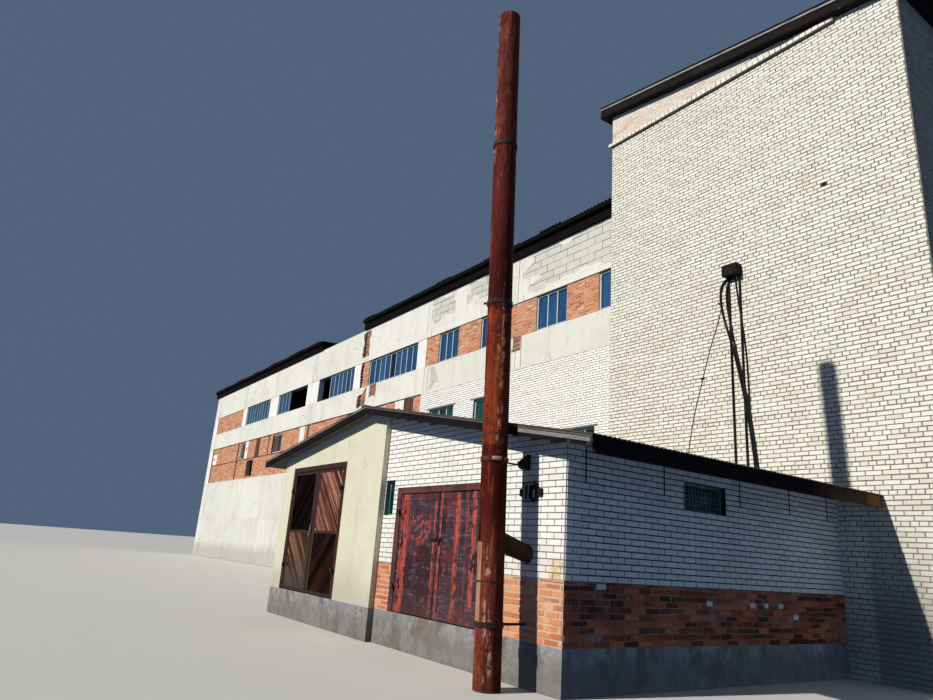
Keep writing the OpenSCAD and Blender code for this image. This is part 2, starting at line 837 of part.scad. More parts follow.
// a leaf with its hinge edge at x = 0 and its front at y = 0: boards set back behind
// a border of stiles and rails
module leaf(w, h, t, outer, meeting, rail, proud, fields) {
    difference() {
        cube([w, t, h]);
        for (f = fields)
            translate([outer, -1, f[0]])
                cube([w - outer - meeting, proud + 1, f[1] - f[0]]);
    }
    hinge_eyes(h);
}

module plank_leaf() {
    leaf(plank_leaf_w, plank_leaf_h, plank_t, plank_rail_w, plank_stile_w, plank_rail_w,
        plank_proud, [[plank_rail_w, plank_mid],
        [plank_mid + plank_rail_w, plank_leaf_h - plank_rail_w]]);
}

module red_leaf() {
    leaf(red_leaf_w, red_leaf_h, red_t, red_rail_w, red_rail_w, red_rail_w, red_proud,
        [[red_rail_w, red_leaf_h - red_rail_w]]);
}

module plank_door_frame() {
    y_leaf = plaster_y + plank_in;
    color("#5a3b2e") {
        door_frame(plank_x0, plank_x1, plank_top, plank_frame_w, plank_frame_w,
            y_leaf - frame_proud);
        hang(plank_x0 + plank_frame_w + leaf_gap, y_leaf, false) pintles(plank_leaf_h);
        hang(plank_x1 - plank_frame_w - leaf_gap, y_leaf, true) pintles(plank_leaf_h);
    }
}

module red_door_frame() {
    y_leaf = brick_y + red_in;
    color("#6d2a25") {
        door_frame(red_x0, red_x1, red_top, red_post_w, red_lintel_h, y_leaf - frame_proud);
        hang(red_x0 + red_post_w + leaf_gap, y_leaf, false) pintles(red_leaf_h);
        hang(red_x1 - red_post_w - leaf_gap, y_leaf, true) pintles(red_leaf_h);
    }
}

module plank_door_left() {
    color("#6b4430") hang(plank_x0 + plank_frame_w + leaf_gap, plaster_y + plank_in, false)
        plank_leaf();
}

module plank_door_right() {
    color("#6b4430") hang(plank_x1 - plank_frame_w - leaf_gap, plaster_y + plank_in, true)
        plank_leaf();
}

// the red leaves' hasp: a strap on the left leaf, a plate with its lock on the right one
module red_door_left() {
    color("#8c2f2a") hang(red_x0 + red_post_w + leaf_gap, brick_y + red_in, false) {
        red_leaf();
        translate([red_leaf_w - red_rail_w * 1.5, -plate_t, hasp_z])
            cube([red_rail_w * 1.5 - leaf_gap / 2, plate_t, eye_h * 0.6]);
    }
}

module red_door_right() {
    color("#8c2f2a") hang(red_x1 - red_post_w - leaf_gap, brick_y + red_in, true) {
        red_leaf();
        translate([red_leaf_w - red_rail_w * 0.8, -plate_t, hasp_z - eye_h * 0.5])
            cube([red_rail_w * 0.6, plate_t, eye_h * 1.4]);
        translate([red_leaf_w - red_rail_w * 0.7, -plate_t * 3, hasp_z - eye_h * 1.2])
            cube([red_rail_w * 0.4, plate_t * 2, eye_h]);
    }
}

module garage_window_frames() {
    color("#4d7a6a") {
        window_frame(front_win_x, front_win_x + front_win_w, brick_y + frame_in, front_win_z,
            front_win_z + front_win_h, small_frame_w, frame_d);
        side_window() window_frame(0, side_win_w, frame_in, 0, side_win_h, small_frame_w,
            frame_d);
    }
}

module roof_straps() {
    color("#3b302a") for (y = strap_y)
        upright([[garage_x1, strap_z], [garage_x1 + strap_t, strap_z],
            [garage_x1 + strap_t, garage_under(garage_x1 + strap_t)],
            [garage_x1, garage_under(garage_x1)]],
            brick_y + y - strap_w / 2, brick_y + y + strap_w / 2);
}

// a housing that narrows to the front, with a round glass that looks out and down
module wall_lamp() {
    front_z = lamp_z + lamp_h - lamp_drop;
    front_h = front_z - lamp_z;
    color("#2c2a2a") {
        sideways([[brick_y, lamp_z], [brick_y, lamp_z + lamp_h], [brick_y - lamp_out, front_z],
            [brick_y - lamp_out + lamp_lean, lamp_z]], lamp_x - lamp_w / 2, lamp_x + lamp_w / 2);
        translate([lamp_x, brick_y - lamp_out + lamp_lean / 2, lamp_z + front_h / 2])
            rotate([90 + atan(lamp_lean / front_h), 0, 0])
                translate([0, 0, -lamp_rim_t]) cylinder(r = lamp_glass_r, h = 2 * lamp_rim_t);
    }
}

module meter_box() {
    middle_z = meter_z + meter_h / 2;
    color("#38383a") {
        span_box(meter_x, meter_x + meter_w, brick_y - meter_out, brick_y, meter_z,
            meter_z + meter_h);
        span_box(meter_x - ear_reach, meter_x + meter_w + ear_reach, brick_y - ear_out, brick_y,
            middle_z - ear_h / 2, middle_z + ear_h / 2);
    }
}

// leans the flue so that every level section stays a circle
module leaning() {
    translate([flue_x, flue_y, 0])
        multmatrix([[1, 0, -flue_lean, 0], [0, 1, 0, 0], [0, 0, 1, 0], [0, 0, 0, 1]])
            children();
}

module flue_pipe() {
    color("#6e3325") leaning() difference() {
        cylinder(r = flue_r, h = flue_h);
        translate([0, 0, flue_foot_t]) cylinder(r = flue_r - flue_wall, h = flue_h);
    }
}

module flue_link() {
    x_link = flue_x - flue_lean * link_flue_z;
    end_t = 1;
    color("#3a2a26") difference() {
        hull() {
            translate([x_link, flue_y + flue_r / 2, link_flue_z]) rotate([-90, 0, 0])
                cylinder(r = link_flue_r, h = end_t);
            translate([x_link + link_shift, brick_y - end_t, link_wall_z]) rotate([-90, 0, 0])
                cylinder(r = link_wall_r, h = end_t);
        }
        leaning() cylinder(r = flue_r, h = flue_h);
    }
}

// something small of the given width that stands out from the flue's skin, turned from
// straight ahead towards the left
module on_flue(turn, w, out, z, h) {
    leaning() difference() {
        rotate([0, 0, -turn]) translate([-w / 2, -flue_r - out, z]) cube([w, flue_r / 2 + out, h]);
        cylinder(r = flue_r, h = flue_h);
    }
}

// a bar from the clamp band at height z back to the wall
module brace(z) {
    x = flue_x - flue_lean * z;
    difference() {
        span_box(x - brace_w / 2, x + brace_w / 2, flue_y, brick_y, z + (band_h - brace_w) / 2,
            z + (band_h + brace_w) / 2);
        leaning() cylinder(r = flue_r, h = flue_h);
    }
}

module flue_brackets() {
    color("#54413a") {
        leaning() for (z = band_z) translate([0, 0, z]) difference() {
            cylinder(r = flue_r + band_t, h = band_h);
            translate([0, 0, -band_h]) cylinder(r = flue_r, h = 3 * band_h);
        }
        brace(band_z[0]);
        on_flue(lug_turn, lug_t, lug_len, band_z[2] + (band_h - lug_t) / 2, lug_t);
        on_flue(flue_box_turn, flue_box_w, flue_box_out, flue_box_z, flue_box_h);
    }
}

block_front_wall();
block_back_wall();
block_left_wall();
block_right_wall();
block_roof();
string_course();
cable_bracket();
floors();
range_end_wall();
range_base_wall();
range_lower_infill();
range_brick_wall();
range_spandrel();
range_upper_infill();
range_piers();
range_parapet();
range_back_bands();
range_back_piers();
range_roof_deck();
range_roof_sheets();
range_window_frames();
window_glass();
garage_base();
garage_plinth();
brick_wall_beside_door();
brick_wall_over_door();
plaster_wall_beside_door();
plaster_wall_over_door();
garage_side_wall();
garage_far_walls();
garage_roof();
garage_roof_sheets();
roof_edge_boards();
plank_door_frame();
plank_door_left();
plank_door_right();
red_door_frame();
red_door_left();
red_door_right();
garage_window_frames();
roof_straps();
wall_lamp();
meter_box();
flue_pipe();
flue_link();
flue_brackets();
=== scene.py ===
# %% [markdown]
# # A derelict factory at half size
# The solids of this building come from its CAD model: a long two-storey range, a tall
# white brick block, a low garage with two pairs of doors and a leaning steel flue.
# This script dresses them: it lays the bricks and panels, glazes the windows, boards
# the doors, covers the roofs and gives every surface its worn finish. All lengths are
# metres in the CAD frame, where Z is up and z = 0 is the ground.

import json
import math
import random

import bpy
import numpy as np
from mathutils import Matrix, Vector, noise

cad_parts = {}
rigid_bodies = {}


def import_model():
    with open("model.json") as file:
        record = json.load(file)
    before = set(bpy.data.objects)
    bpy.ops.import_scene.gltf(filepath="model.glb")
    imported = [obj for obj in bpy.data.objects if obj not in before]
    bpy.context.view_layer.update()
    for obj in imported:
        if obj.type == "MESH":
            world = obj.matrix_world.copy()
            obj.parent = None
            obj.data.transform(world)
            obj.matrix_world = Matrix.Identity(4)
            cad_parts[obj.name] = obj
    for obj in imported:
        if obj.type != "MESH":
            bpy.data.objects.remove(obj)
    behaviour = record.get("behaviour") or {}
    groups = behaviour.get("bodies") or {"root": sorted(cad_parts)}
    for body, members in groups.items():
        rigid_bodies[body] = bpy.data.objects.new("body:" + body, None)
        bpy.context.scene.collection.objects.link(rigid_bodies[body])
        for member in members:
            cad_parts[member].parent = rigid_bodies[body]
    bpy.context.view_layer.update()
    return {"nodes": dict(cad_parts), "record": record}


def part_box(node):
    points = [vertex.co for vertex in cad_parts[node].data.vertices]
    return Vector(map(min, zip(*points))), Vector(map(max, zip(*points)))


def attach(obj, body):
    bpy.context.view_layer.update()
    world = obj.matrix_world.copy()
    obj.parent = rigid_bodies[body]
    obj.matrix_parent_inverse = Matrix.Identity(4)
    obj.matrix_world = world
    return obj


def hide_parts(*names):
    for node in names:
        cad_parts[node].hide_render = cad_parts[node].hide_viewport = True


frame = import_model()
nodes = frame["nodes"]
openings = {o["name"]: o["box_m"] for o in frame["record"]["physics"]["openings"]}

# %% [markdown]
# ## Camera
# The photograph was taken from low down near the corner of the garage, with the
# camera turned well to the left, tipped up and a little out of level. The place is
# given in the frame, and the three turns build the camera's own axes one by one,
# which is easier to check than a set of Euler angles.

# %% Camera
PHOTO_WIDTH = 933
SENSOR_MM = 36.0
focal_px = 690.57
camera_place = Vector((3.7625, -9.35, 0.70))
turn_left, tip_up, tilt = (math.radians(v) for v in (55.79, 16.42, -4.16))


def camera_axes(turn, tip, roll):
    """The camera's right, up and backward directions."""
    level = Vector((-math.sin(turn), math.cos(turn), 0))
    ahead = math.cos(tip) * level + Vector((0, 0, math.sin(tip)))
    right = Vector((math.cos(turn), math.sin(turn), 0))
    down = ahead.cross(right)
    rolled_right = math.cos(roll) * right + math.sin(roll) * down
    rolled_down = -math.sin(roll) * right + math.cos(roll) * down
    return rolled_right, -rolled_down, -ahead


camera_data = bpy.data.cameras.new("camera")
camera_data.sensor_width = SENSOR_MM
camera_data.lens = focal_px / PHOTO_WIDTH * SENSOR_MM
camera_data.clip_end = 500
camera = bpy.data.objects.new("camera", camera_data)
bpy.context.collection.objects.link(camera)
axes = camera_axes(turn_left, tip_up, tilt)
camera.matrix_world = Matrix.Translation(camera_place) @ Matrix(axes).transposed().to_4x4()
bpy.context.scene.camera = camera
print("lens:", round(camera_data.lens, 2), "mm")

# %% [markdown]
# ## Floor and light
# A plain pale floor, a key light from the front left, low like a winter sun, and a
# cool even fill from all round. The key is a sun lamp with a small angle, so its
# shadows are about as crisp as in the photograph and show the depth of the walls. The
# floor throws no light back, because dark grass lies before the real building.

# %% Floor and light
FLOOR_SIZE = 400
floor_level = -0.003
key_travel = Vector((0.151, 0.993, -0.645))
key_strength = 4.15
key_softness = math.radians(0.8)
fill_color = (0.42, 0.62, 1.0, 1)
fill_strength = 0.20
floor_color = (0.60, 0.59, 0.57, 1)

bpy.ops.mesh.primitive_plane_add(size=FLOOR_SIZE, location=(0, 0, floor_level))
floor = bpy.context.object
floor.name = "stage_floor"
floor.visible_diffuse = False
floor_paint = bpy.data.materials.new("floor_paint")
floor_paint.use_nodes = True
floor_paint.node_tree.nodes["Principled BSDF"].inputs["Base Color"].default_value = floor_color
floor_paint.node_tree.nodes["Principled BSDF"].inputs["Roughness"].default_value = 0.9
floor.data.materials.append(floor_paint)

key_data = bpy.data.lights.new("key", "SUN")
key_data.energy = key_strength
key_data.angle = key_softness
key_data.color = (1.0, 0.95, 0.86)
key = bpy.data.objects.new("key", key_data)
key.rotation_euler = key_travel.to_track_quat("-Z", "Y").to_euler()
bpy.context.collection.objects.link(key)

world = bpy.data.worlds.new("fill")
world.use_nodes = True
world.node_tree.nodes["Background"].inputs["Color"].default_value = fill_color
world.node_tree.nodes["Background"].inputs["Strength"].default_value = fill_strength
bpy.context.scene.world = world
bpy.context.scene.view_settings.view_transform = "Standard"

# %% [markdown]
# ## Shader groups
# Weather does the same few things to every wall: it leaves patches, runs down in
# streaks, opens cracks and splashes dirt up from the ground. Each effect is one node
# group that gives a mask from 0 to 1, and each material uses it with its own numbers.
# The masks are built on Object coordinates, so their scales follow the wall's metres.


# %% Helpers for shader nodes
def add(tree, kind, inputs=None, **settings):
    """Adds a node; an input is given a value, or another node's output to follow."""
    made = tree.nodes.new("ShaderNode" + kind)
    for name, value in settings.items():
        setattr(made, name, value)
    for socket, value in (inputs or {}).items():
        if isinstance(value, bpy.types.NodeSocket):
            tree.links.new(value, made.inputs[socket])
        else:
            made.inputs[socket].default_value = value
    return made


def new_group(build, **numbers):
    """A group with a Vector input, the given number inputs and the mask that build makes."""
    tree = bpy.data.node_groups.new(build.__name__, "ShaderNodeTree")
    tree.interface.new_socket("Vector", in_out="INPUT", socket_type="NodeSocketVector")
    for label, value in numbers.items():
        made = tree.interface.new_socket(label, in_out="INPUT", socket_type="NodeSocketFloat")
        made.default_value = value
    tree.interface.new_socket("Mask", in_out="OUTPUT", socket_type="NodeSocketFloat")
    mask = build(tree, tree.nodes.new("NodeGroupInput").outputs)
    tree.links.new(mask, tree.nodes.new("NodeGroupOutput").inputs["Mask"])
    return tree


def threshold(tree, value, start, softness):
    """A mask that rises from 0 at start to 1 at start + softness."""
    end = add(tree, "Math", {0: start, 1: softness}, operation="ADD").outputs[0]
    ramp = {"Value": value, "From Min": start, "From Max": end}
    return add(tree, "MapRange", ramp, interpolation_type="SMOOTHSTEP").outputs[0]


def fade(tree, value, start, end, **settings):
    """A mask that falls from 1 at start to 0 at end."""
    ramp = {"Value": value, "From Min": start, "From Max": end, "To Min": 1.0, "To Max": 0.0}
    return add(tree, "MapRange", ramp, **settings).outputs[0]


def clouds(tree, place, scale, detail, roughness=0.5):
    """The outputs of a noise texture: its value and its colour."""
    return add(tree, "TexNoise", {"Vector": place, "Scale": scale, "Detail": detail,
        "Roughness": roughness}).outputs


# %% Patches, streaks, cracks, splash and grain
def patches(tree, given):
    """Blots with hard or soft edges."""
    value = clouds(tree, given["Vector"], given["Scale"], 7.0, 0.62)["Fac"]
    return threshold(tree, value, given["Start"], given["Softness"])


def streaks(tree, given):
    """Blots drawn out downwards."""
    drawn_out = add(tree, "VectorMath", {0: given["Vector"], 1: (1, 1, 0.09)},
        operation="MULTIPLY")
    value = clouds(tree, drawn_out.outputs[0], given["Scale"], 5.0, 0.6)["Fac"]
    return threshold(tree, value, given["Start"], given["Softness"])


def cracks(tree, given):
    """Thin lines that wander."""
    push = clouds(tree, given["Vector"], 3.0, 5.0)["Color"]
    pushed = add(tree, "VectorMath", {0: push, "Scale": given["Wander"]}, operation="SCALE")
    moved = add(tree, "VectorMath", {0: given["Vector"], 1: pushed.outputs[0]}, operation="ADD")
    cells = add(tree, "TexVoronoi", {"Vector": moved.outputs[0], "Scale": given["Scale"]},
        feature="DISTANCE_TO_EDGE")
    return fade(tree, cells.outputs["Distance"], 0.0, given["Width"])


def splash(tree, given):
    """Full at the ground, and gone above a ragged height."""
    value = clouds(tree, given["Vector"], 2.2, 6.0, 0.65)["Fac"]
    height = add(tree, "SeparateXYZ", {0: given["Vector"]}).outputs["Z"]
    lift = add(tree, "Math", {0: value, 1: given["Ragged"]}, operation="MULTIPLY").outputs[0]
    level = add(tree, "Math", {0: height, 1: lift}, operation="SUBTRACT").outputs[0]
    return fade(tree, level, 0.0, given["Height"], interpolation_type="SMOOTHSTEP")


def grain(tree, given):
    """A fine noise that can be turned and drawn out."""
    turn = add(tree, "CombineXYZ", {"Y": given["Turn"]})
    stretch = add(tree, "CombineXYZ", {"X": given["Stretch_X"], "Y": 1.0,
        "Z": given["Stretch_Z"]})
    placed = add(tree, "VectorRotate", {"Vector": given["Vector"], "Rotation": turn.outputs[0]},
        rotation_type="EULER_XYZ")
    scaled = add(tree, "VectorMath", {0: placed.outputs[0], 1: stretch.outputs[0]},
        operation="MULTIPLY")
    return clouds(tree, scaled.outputs[0], given["Scale"], 6.0, 0.65)["Fac"]


PATCHES = new_group(patches, Scale=2.0, Start=0.5, Softness=0.05)
STREAKS = new_group(streaks, Scale=6.0, Start=0.5, Softness=0.15)
CRACKS = new_group(cracks, Scale=1.0, Width=0.01, Wander=0.25)
SPLASH = new_group(splash, Height=0.5, Ragged=0.3)
GRAIN = new_group(grain, Scale=60.0, Stretch_X=1.0, Stretch_Z=1.0, Turn=0.0)
print("shader groups:", [g.name for g in bpy.data.node_groups])

# %% [markdown]
# ## Materials in layers
# A worn surface is easiest to think of as a stack: a base colour, then stains and
# bare patches laid over it one at a time, then a relief for the light to catch. The
# small class below keeps that stack, so that each material reads like a recipe.


# %% A material as a stack of layers
def dim(color, share):
    """A colour times a share, which may be over 1."""
    return [c * share for c in color]


class Finish:
    """A Principled material that grows by layers; done() joins it up and returns it.
    The colour is a value or a node's output, and the place is in Object coordinates."""

    def __init__(self, name, color, roughness=0.85, shine=0.2):
        self.material = bpy.data.materials.new(name)
        self.material.use_nodes = True
        self.tree = self.material.node_tree
        self.shader = self.tree.nodes["Principled BSDF"]
        self.shader.inputs["Roughness"].default_value = roughness
        self.shader.inputs["Specular IOR Level"].default_value = shine
        self.place = add(self.tree, "TexCoord").outputs["Object"]
        self.color = (*color, 1)
        self.normal = None

    def mask(self, group, **values):
        """One of the shared groups, set to this material's own values."""
        made = add(self.tree, "Group", node_tree=group)
        self.tree.links.new(self.place, made.inputs["Vector"])
        for label, value in values.items():
            made.inputs[label].default_value = value
        return made.outputs["Mask"]

    def patches(self, scale, start, softness, color=None, strength=1.0):
        """A mask of patches, laid on at once where a colour is given."""
        return self.weather(PATCHES, scale, start, softness, color, strength)

    def streaks(self, scale, start, softness, color=None, strength=1.0):
        """A mask of streaks that run down, laid on at once where a colour is given."""
        return self.weather(STREAKS, scale, start, softness, color, strength)

    def weather(self, group, scale, start, softness, color, strength):
        """What patches and streaks share."""
        mask = self.mask(group, Scale=scale, Start=start, Softness=softness)
        if color:
            self.layer(mask, color, strength)
        return mask

    def splash(self, height, ragged, color, strength):
        """Dirt splashed up from the ground; with the tall block's brick it is painted shade as
        well.
        """
        self.layer(self.mask(SPLASH, Height=height, Ragged=ragged), color, strength)

    def grain(self, scale, depth, color=None, strength=1.0, **drawn_out):
        """A fine grain as relief, and as colour too where one is given."""
        mask = self.mask(GRAIN, Scale=scale, **drawn_out)
        if color:
            self.layer(mask, color, strength)
        self.relief(mask, depth)

    def wood(self, colors, along_z, turn=0.0):
        """Boards in several tones, with a grain drawn out along Z or X as dark lines."""
        drawn_out = {"Stretch_Z" if along_z else "Stretch_X": 0.06}
        mask = self.mask(GRAIN, Scale=38.0, Turn=turn, **drawn_out)
        self.color = self.ramp(self.tone(), colors)
        self.layer(self.math("GREATER_THAN", mask, 0.56), dim(colors[0], 0.45), 0.6)
        self.relief(mask, 0.002)

    def spot(self, across, up):
        """A mask between limits along X and along Z, both given as band takes them."""
        return self.both(self.band(0, *across), self.band(2, *up))

    def both(self, first, second):
        """A mask that holds only where both of two masks do."""
        return self.math("MULTIPLY", first, second)

    def math(self, operation, first, second):
        """A sum whose result is held between 0 and 1."""
        return add(self.tree, "Math", {0: first, 1: second}, operation=operation,
            use_clamp=True).outputs[0]

    def between(self, value, low, high, soft=0.006, soft_high=None):
        """A mask that is 1 where a value lies between two limits."""
        soft_high = soft_high or soft
        rise = add(self.tree, "MapRange", {"Value": value, "From Min": low,
            "From Max": low + soft}).outputs[0]
        return self.both(rise, fade(self.tree, value, high - soft_high, high))

    def along(self, direction, start):
        """How far a place lies along a direction, counted from start."""
        reach = add(self.tree, "VectorMath", {0: self.place, 1: direction},
            operation="DOT_PRODUCT").outputs["Value"]
        return add(self.tree, "Math", {0: reach, 1: start}, operation="SUBTRACT").outputs[0]

    def band(self, axis, low, high, ragged=0.0, soft=0.006, soft_high=None):
        """A mask that is 1 between two places along an axis, with wavering edges."""
        place = add(self.tree, "SeparateXYZ", {0: self.place}).outputs[axis]
        if ragged:
            waver = clouds(self.tree, self.place, 26.0, 5.0)["Fac"]
            shift = {"Value": waver, "From Min": 0.25, "From Max": 0.75, "To Min": -ragged,
                "To Max": ragged}
            waver = add(self.tree, "MapRange", shift, clamp=False).outputs[0]
            place = add(self.tree, "Math", {0: place, 1: waver}, operation="ADD").outputs[0]
        return self.between(place, low, high, soft, soft_high)

    def tone(self):
        """The number that each brick or board carries, from 0 to 1."""
        return add(self.tree, "Attribute", attribute_name="tone").outputs["Fac"]

    def ramp(self, value, colors):
        """Spreads the given colours over a value from 0 to 1."""
        made = add(self.tree, "ValToRGB", {"Fac": value})
        stops = made.color_ramp.elements
        while len(stops) < len(colors):
            stops.new(0.5)
        for i, color in enumerate(colors):
            stops[i].position = i / (len(colors) - 1)
            stops[i].color = (*color, 1)
        return made.outputs["Color"]

    def layer(self, mask, color, strength=1.0):
        """Lays a colour over what is there, as far as the mask lets it."""
        if strength < 1:
            mask = self.both(mask, strength)
        mix = add(self.tree, "Mix", {0: mask, 6: self.color}, data_type="RGBA")
        if isinstance(color, bpy.types.NodeSocket):
            self.tree.links.new(color, mix.inputs[7])
        else:
            mix.inputs[7].default_value = (*color, 1)
        self.color = mix.outputs[2]

    def relief(self, height, distance):
        """Adds a bump of the given depth in metres."""
        made = add(self.tree, "Bump", {"Height": height, "Distance": distance})
        if self.normal:
            self.tree.links.new(self.normal, made.inputs["Normal"])
        self.normal = made.outputs["Normal"]

    def done(self):
        """Joins the colour and the relief to the shader."""
        if isinstance(self.color, bpy.types.NodeSocket):
            self.tree.links.new(self.color, self.shader.inputs["Base Color"])
        else:
            self.shader.inputs["Base Color"].default_value = self.color
        if self.normal:
            self.tree.links.new(self.normal, self.shader.inputs["Normal"])
        return self.material


# %% [markdown]
# ## Masonry finishes
# The bricks are real geometry, so a brick's material only has to vary from brick to
# brick, which the tone number does, and to carry stains that run on over many bricks.
# White bricks are sand-lime: cream, matt, with a fine sandy grain. The mortar is the
# wall behind them. Render and plaster are one skin, so cracks and stains do the work.


# %% Masonry materials
def white_brick(name, colors, stain, stain_strength, low_stain_and_shade=None, rust_stain=None,
        low_strength=0.55, shade_corner=None):
    f = Finish(name, colors[1])
    f.color = f.ramp(f.tone(), colors)
    f.patches(1.1, 0.52, 0.16, stain, stain_strength)
    f.streaks(5.0, 0.56, 0.18, stain, stain_strength * 0.6)
    # With the tall block's brick this dark splash at the foot of the walls is painted shade.
    if low_stain_and_shade:
        f.splash(0.85, 0.25, low_stain_and_shade, low_strength)
    # A darker patch low on the block's front beside the garage: painted shade where the garage's
    # shadow falls.
    if shade_corner:
        corner_shade = f.spot((1.0, 1.75, 0.03, 0.05, 0.5), (-0.2, 1.5, 0.05, 0.01, 1.2))
        f.layer(corner_shade, shade_corner, 0.8)
    if rust_stain:
        stained = f.spot((0.66, 1.02, 0.03, 0.05), (0.50, 0.72, 0.02, 0.03))
        f.layer(f.both(stained, f.patches(9.0, 0.36, 0.12)), rust_stain, 0.9)
    f.grain(150.0, 0.0012, colors[0], 0.22)
    f.patches(38.0, 0.66, 0.02, (0.20, 0.17, 0.13), 0.5)
    return f.done()


def red_brick(name, colors, wash, wash_start, soot=0.3):
    f = Finish(name, colors[0])
    f.color = f.ramp(f.tone(), colors)
    f.patches(2.6, wash_start, 0.14, wash, 0.8)
    f.patches(1.7, 0.56, 0.12, (0.13, 0.07, 0.05), soot)
    f.grain(110.0, 0.002, dim(colors[0], 0.5), 0.3)
    f.patches(30.0, 0.62, 0.03, wash, 0.45)
    return f.done()


def mortar(name, color, shaded_side_color=None):
    f = Finish(name, color, roughness=0.95)
    # Darker mortar on the garage's side face: painted shade.
    if shaded_side_color:
        side_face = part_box("garage_side_wall")[1].x
        f.layer(f.band(0, side_face - 0.002, 9, 0.0, 0.001), shaded_side_color)
    f.patches(2.4, 0.5, 0.15, dim(color, 0.7), 0.6)
    f.grain(120.0, 0.002, dim(color, 0.6), 0.5)
    return f.done()


def plaster(name, color, stain, bare, bare_start, crack_strength=0.5):
    f = Finish(name, color, roughness=0.9)
    f.color = f.ramp(f.tone(), [color, color, dim(color, 0.90)])
    f.patches(0.9, 0.45, 0.25, stain, 0.35)
    f.patches(5.5, 0.52, 0.2, stain, 0.3)
    f.streaks(7.0, 0.52, 0.2, stain, 0.45)
    f.splash(0.35, 0.5, dim(stain, 0.6), 0.55)
    f.patches(3.1, bare_start, 0.02, bare, 0.85)
    lines = f.mask(CRACKS, Scale=1.1, Width=0.004, Wander=0.45)
    f.layer(lines, (0.14, 0.12, 0.10), crack_strength)
    f.grain(70.0, 0.002, dim(color, 0.8), 0.3)
    return f.done()


def concrete(name, color):
    f = Finish(name, color, roughness=0.95)
    f.patches(1.5, 0.48, 0.2, dim(color, 0.55), 0.8)
    f.patches(7.0, 0.50, 0.08, dim(color, 1.7), 0.6)
    f.patches(4.2, 0.54, 0.05, dim(color, 0.35), 0.75)
    f.patches(23.0, 0.55, 0.04, dim(color, 0.4), 0.6)
    f.patches(3.1, 0.63, 0.05, (0.20, 0.10, 0.05), 0.7)
    f.streaks(6.0, 0.52, 0.1, dim(color, 1.4), 0.4)
    f.splash(0.15, 0.2, (0.16, 0.13, 0.10), 0.6)
    f.grain(45.0, 0.004, dim(color, 0.7), 0.5)
    return f.done()


# The block brick's dark low splash and its darker corner are painted shade.
BLOCK_BRICK = white_brick("block_brick", [(0.72, 0.69, 0.58), (0.80, 0.79, 0.71),
    (0.82, 0.81, 0.74), (0.85, 0.845, 0.78)], (0.66, 0.62, 0.47), 0.22,
    (0.16, 0.155, 0.14), low_strength=0.75, shade_corner=(0.105, 0.115, 0.105))
# A darker copy of the block brick for the block's right wall: painted shade on the side away from
# the key light.
BLOCK_SHADE_BRICK = white_brick("block_shade_brick", [(0.30, 0.27, 0.22), (0.36, 0.34, 0.29),
    (0.40, 0.38, 0.34), (0.44, 0.42, 0.38)], (0.24, 0.21, 0.17), 0.5)
PALE_BRICK = white_brick("pale_brick", [(0.82, 0.80, 0.75), (0.90, 0.89, 0.86),
    (0.91, 0.91, 0.88), (0.92, 0.92, 0.90)], (0.66, 0.63, 0.55), 0.18)
GARAGE_BRICK = white_brick("garage_brick", [(0.78, 0.77, 0.72), (0.84, 0.83, 0.79),
    (0.86, 0.86, 0.82), (0.88, 0.88, 0.85)], (0.62, 0.59, 0.52), 0.18, (0.70, 0.52, 0.32),
    (0.66, 0.42, 0.16))
SIDE_BRICK = white_brick("side_brick", [(0.74, 0.73, 0.70), (0.88, 0.88, 0.86),
    (0.90, 0.90, 0.89), (0.92, 0.92, 0.91)], (0.60, 0.55, 0.48), 0.3, (0.62, 0.58, 0.52))
PLINTH_BRICK = red_brick("plinth_brick", [(0.070, 0.018, 0.014), (0.38, 0.088, 0.042),
    (0.74, 0.20, 0.085)], (0.40, 0.34, 0.29), 0.55, 0.6)
PLINTH_FRONT = red_brick("plinth_front", [(0.50, 0.15, 0.07), (0.74, 0.26, 0.12),
    (0.80, 0.38, 0.20)], (0.84, 0.60, 0.36), 0.56, 0.35)
WEDGE_BRICK = red_brick("wedge_brick", [(0.76, 0.46, 0.34), (0.81, 0.71, 0.60),
    (0.84, 0.80, 0.72)], (0.82, 0.80, 0.72), 0.45, 0.05)
INFILL_BRICK = red_brick("infill_brick", [(0.40, 0.105, 0.045), (0.70, 0.22, 0.085),
    (0.78, 0.34, 0.17)], (0.78, 0.54, 0.34), 0.57, 0.25)
BLOCKWORK = plaster("blockwork", (0.64, 0.63, 0.57), (0.52, 0.51, 0.46),
    (0.44, 0.42, 0.38), 0.68, 0.2)
GREY_MORTAR = mortar("grey_mortar", (0.25, 0.21, 0.17))
LIGHT_MORTAR = mortar("light_mortar", (0.22, 0.21, 0.20))
# Near-black joints of the garage's side wall: painted shade.
DARK_MORTAR = mortar("dark_mortar", (0.035, 0.035, 0.04))
# Its second colour is painted shade in the joints on the garage's side face.
PALE_MORTAR = mortar("pale_mortar", (0.62, 0.50, 0.37), (0.17, 0.13, 0.11))
JOINT_SHADOW = mortar("joint_shadow", (0.16, 0.14, 0.12))
WEDGE_MORTAR = mortar("wedge_mortar", (0.62, 0.58, 0.50))
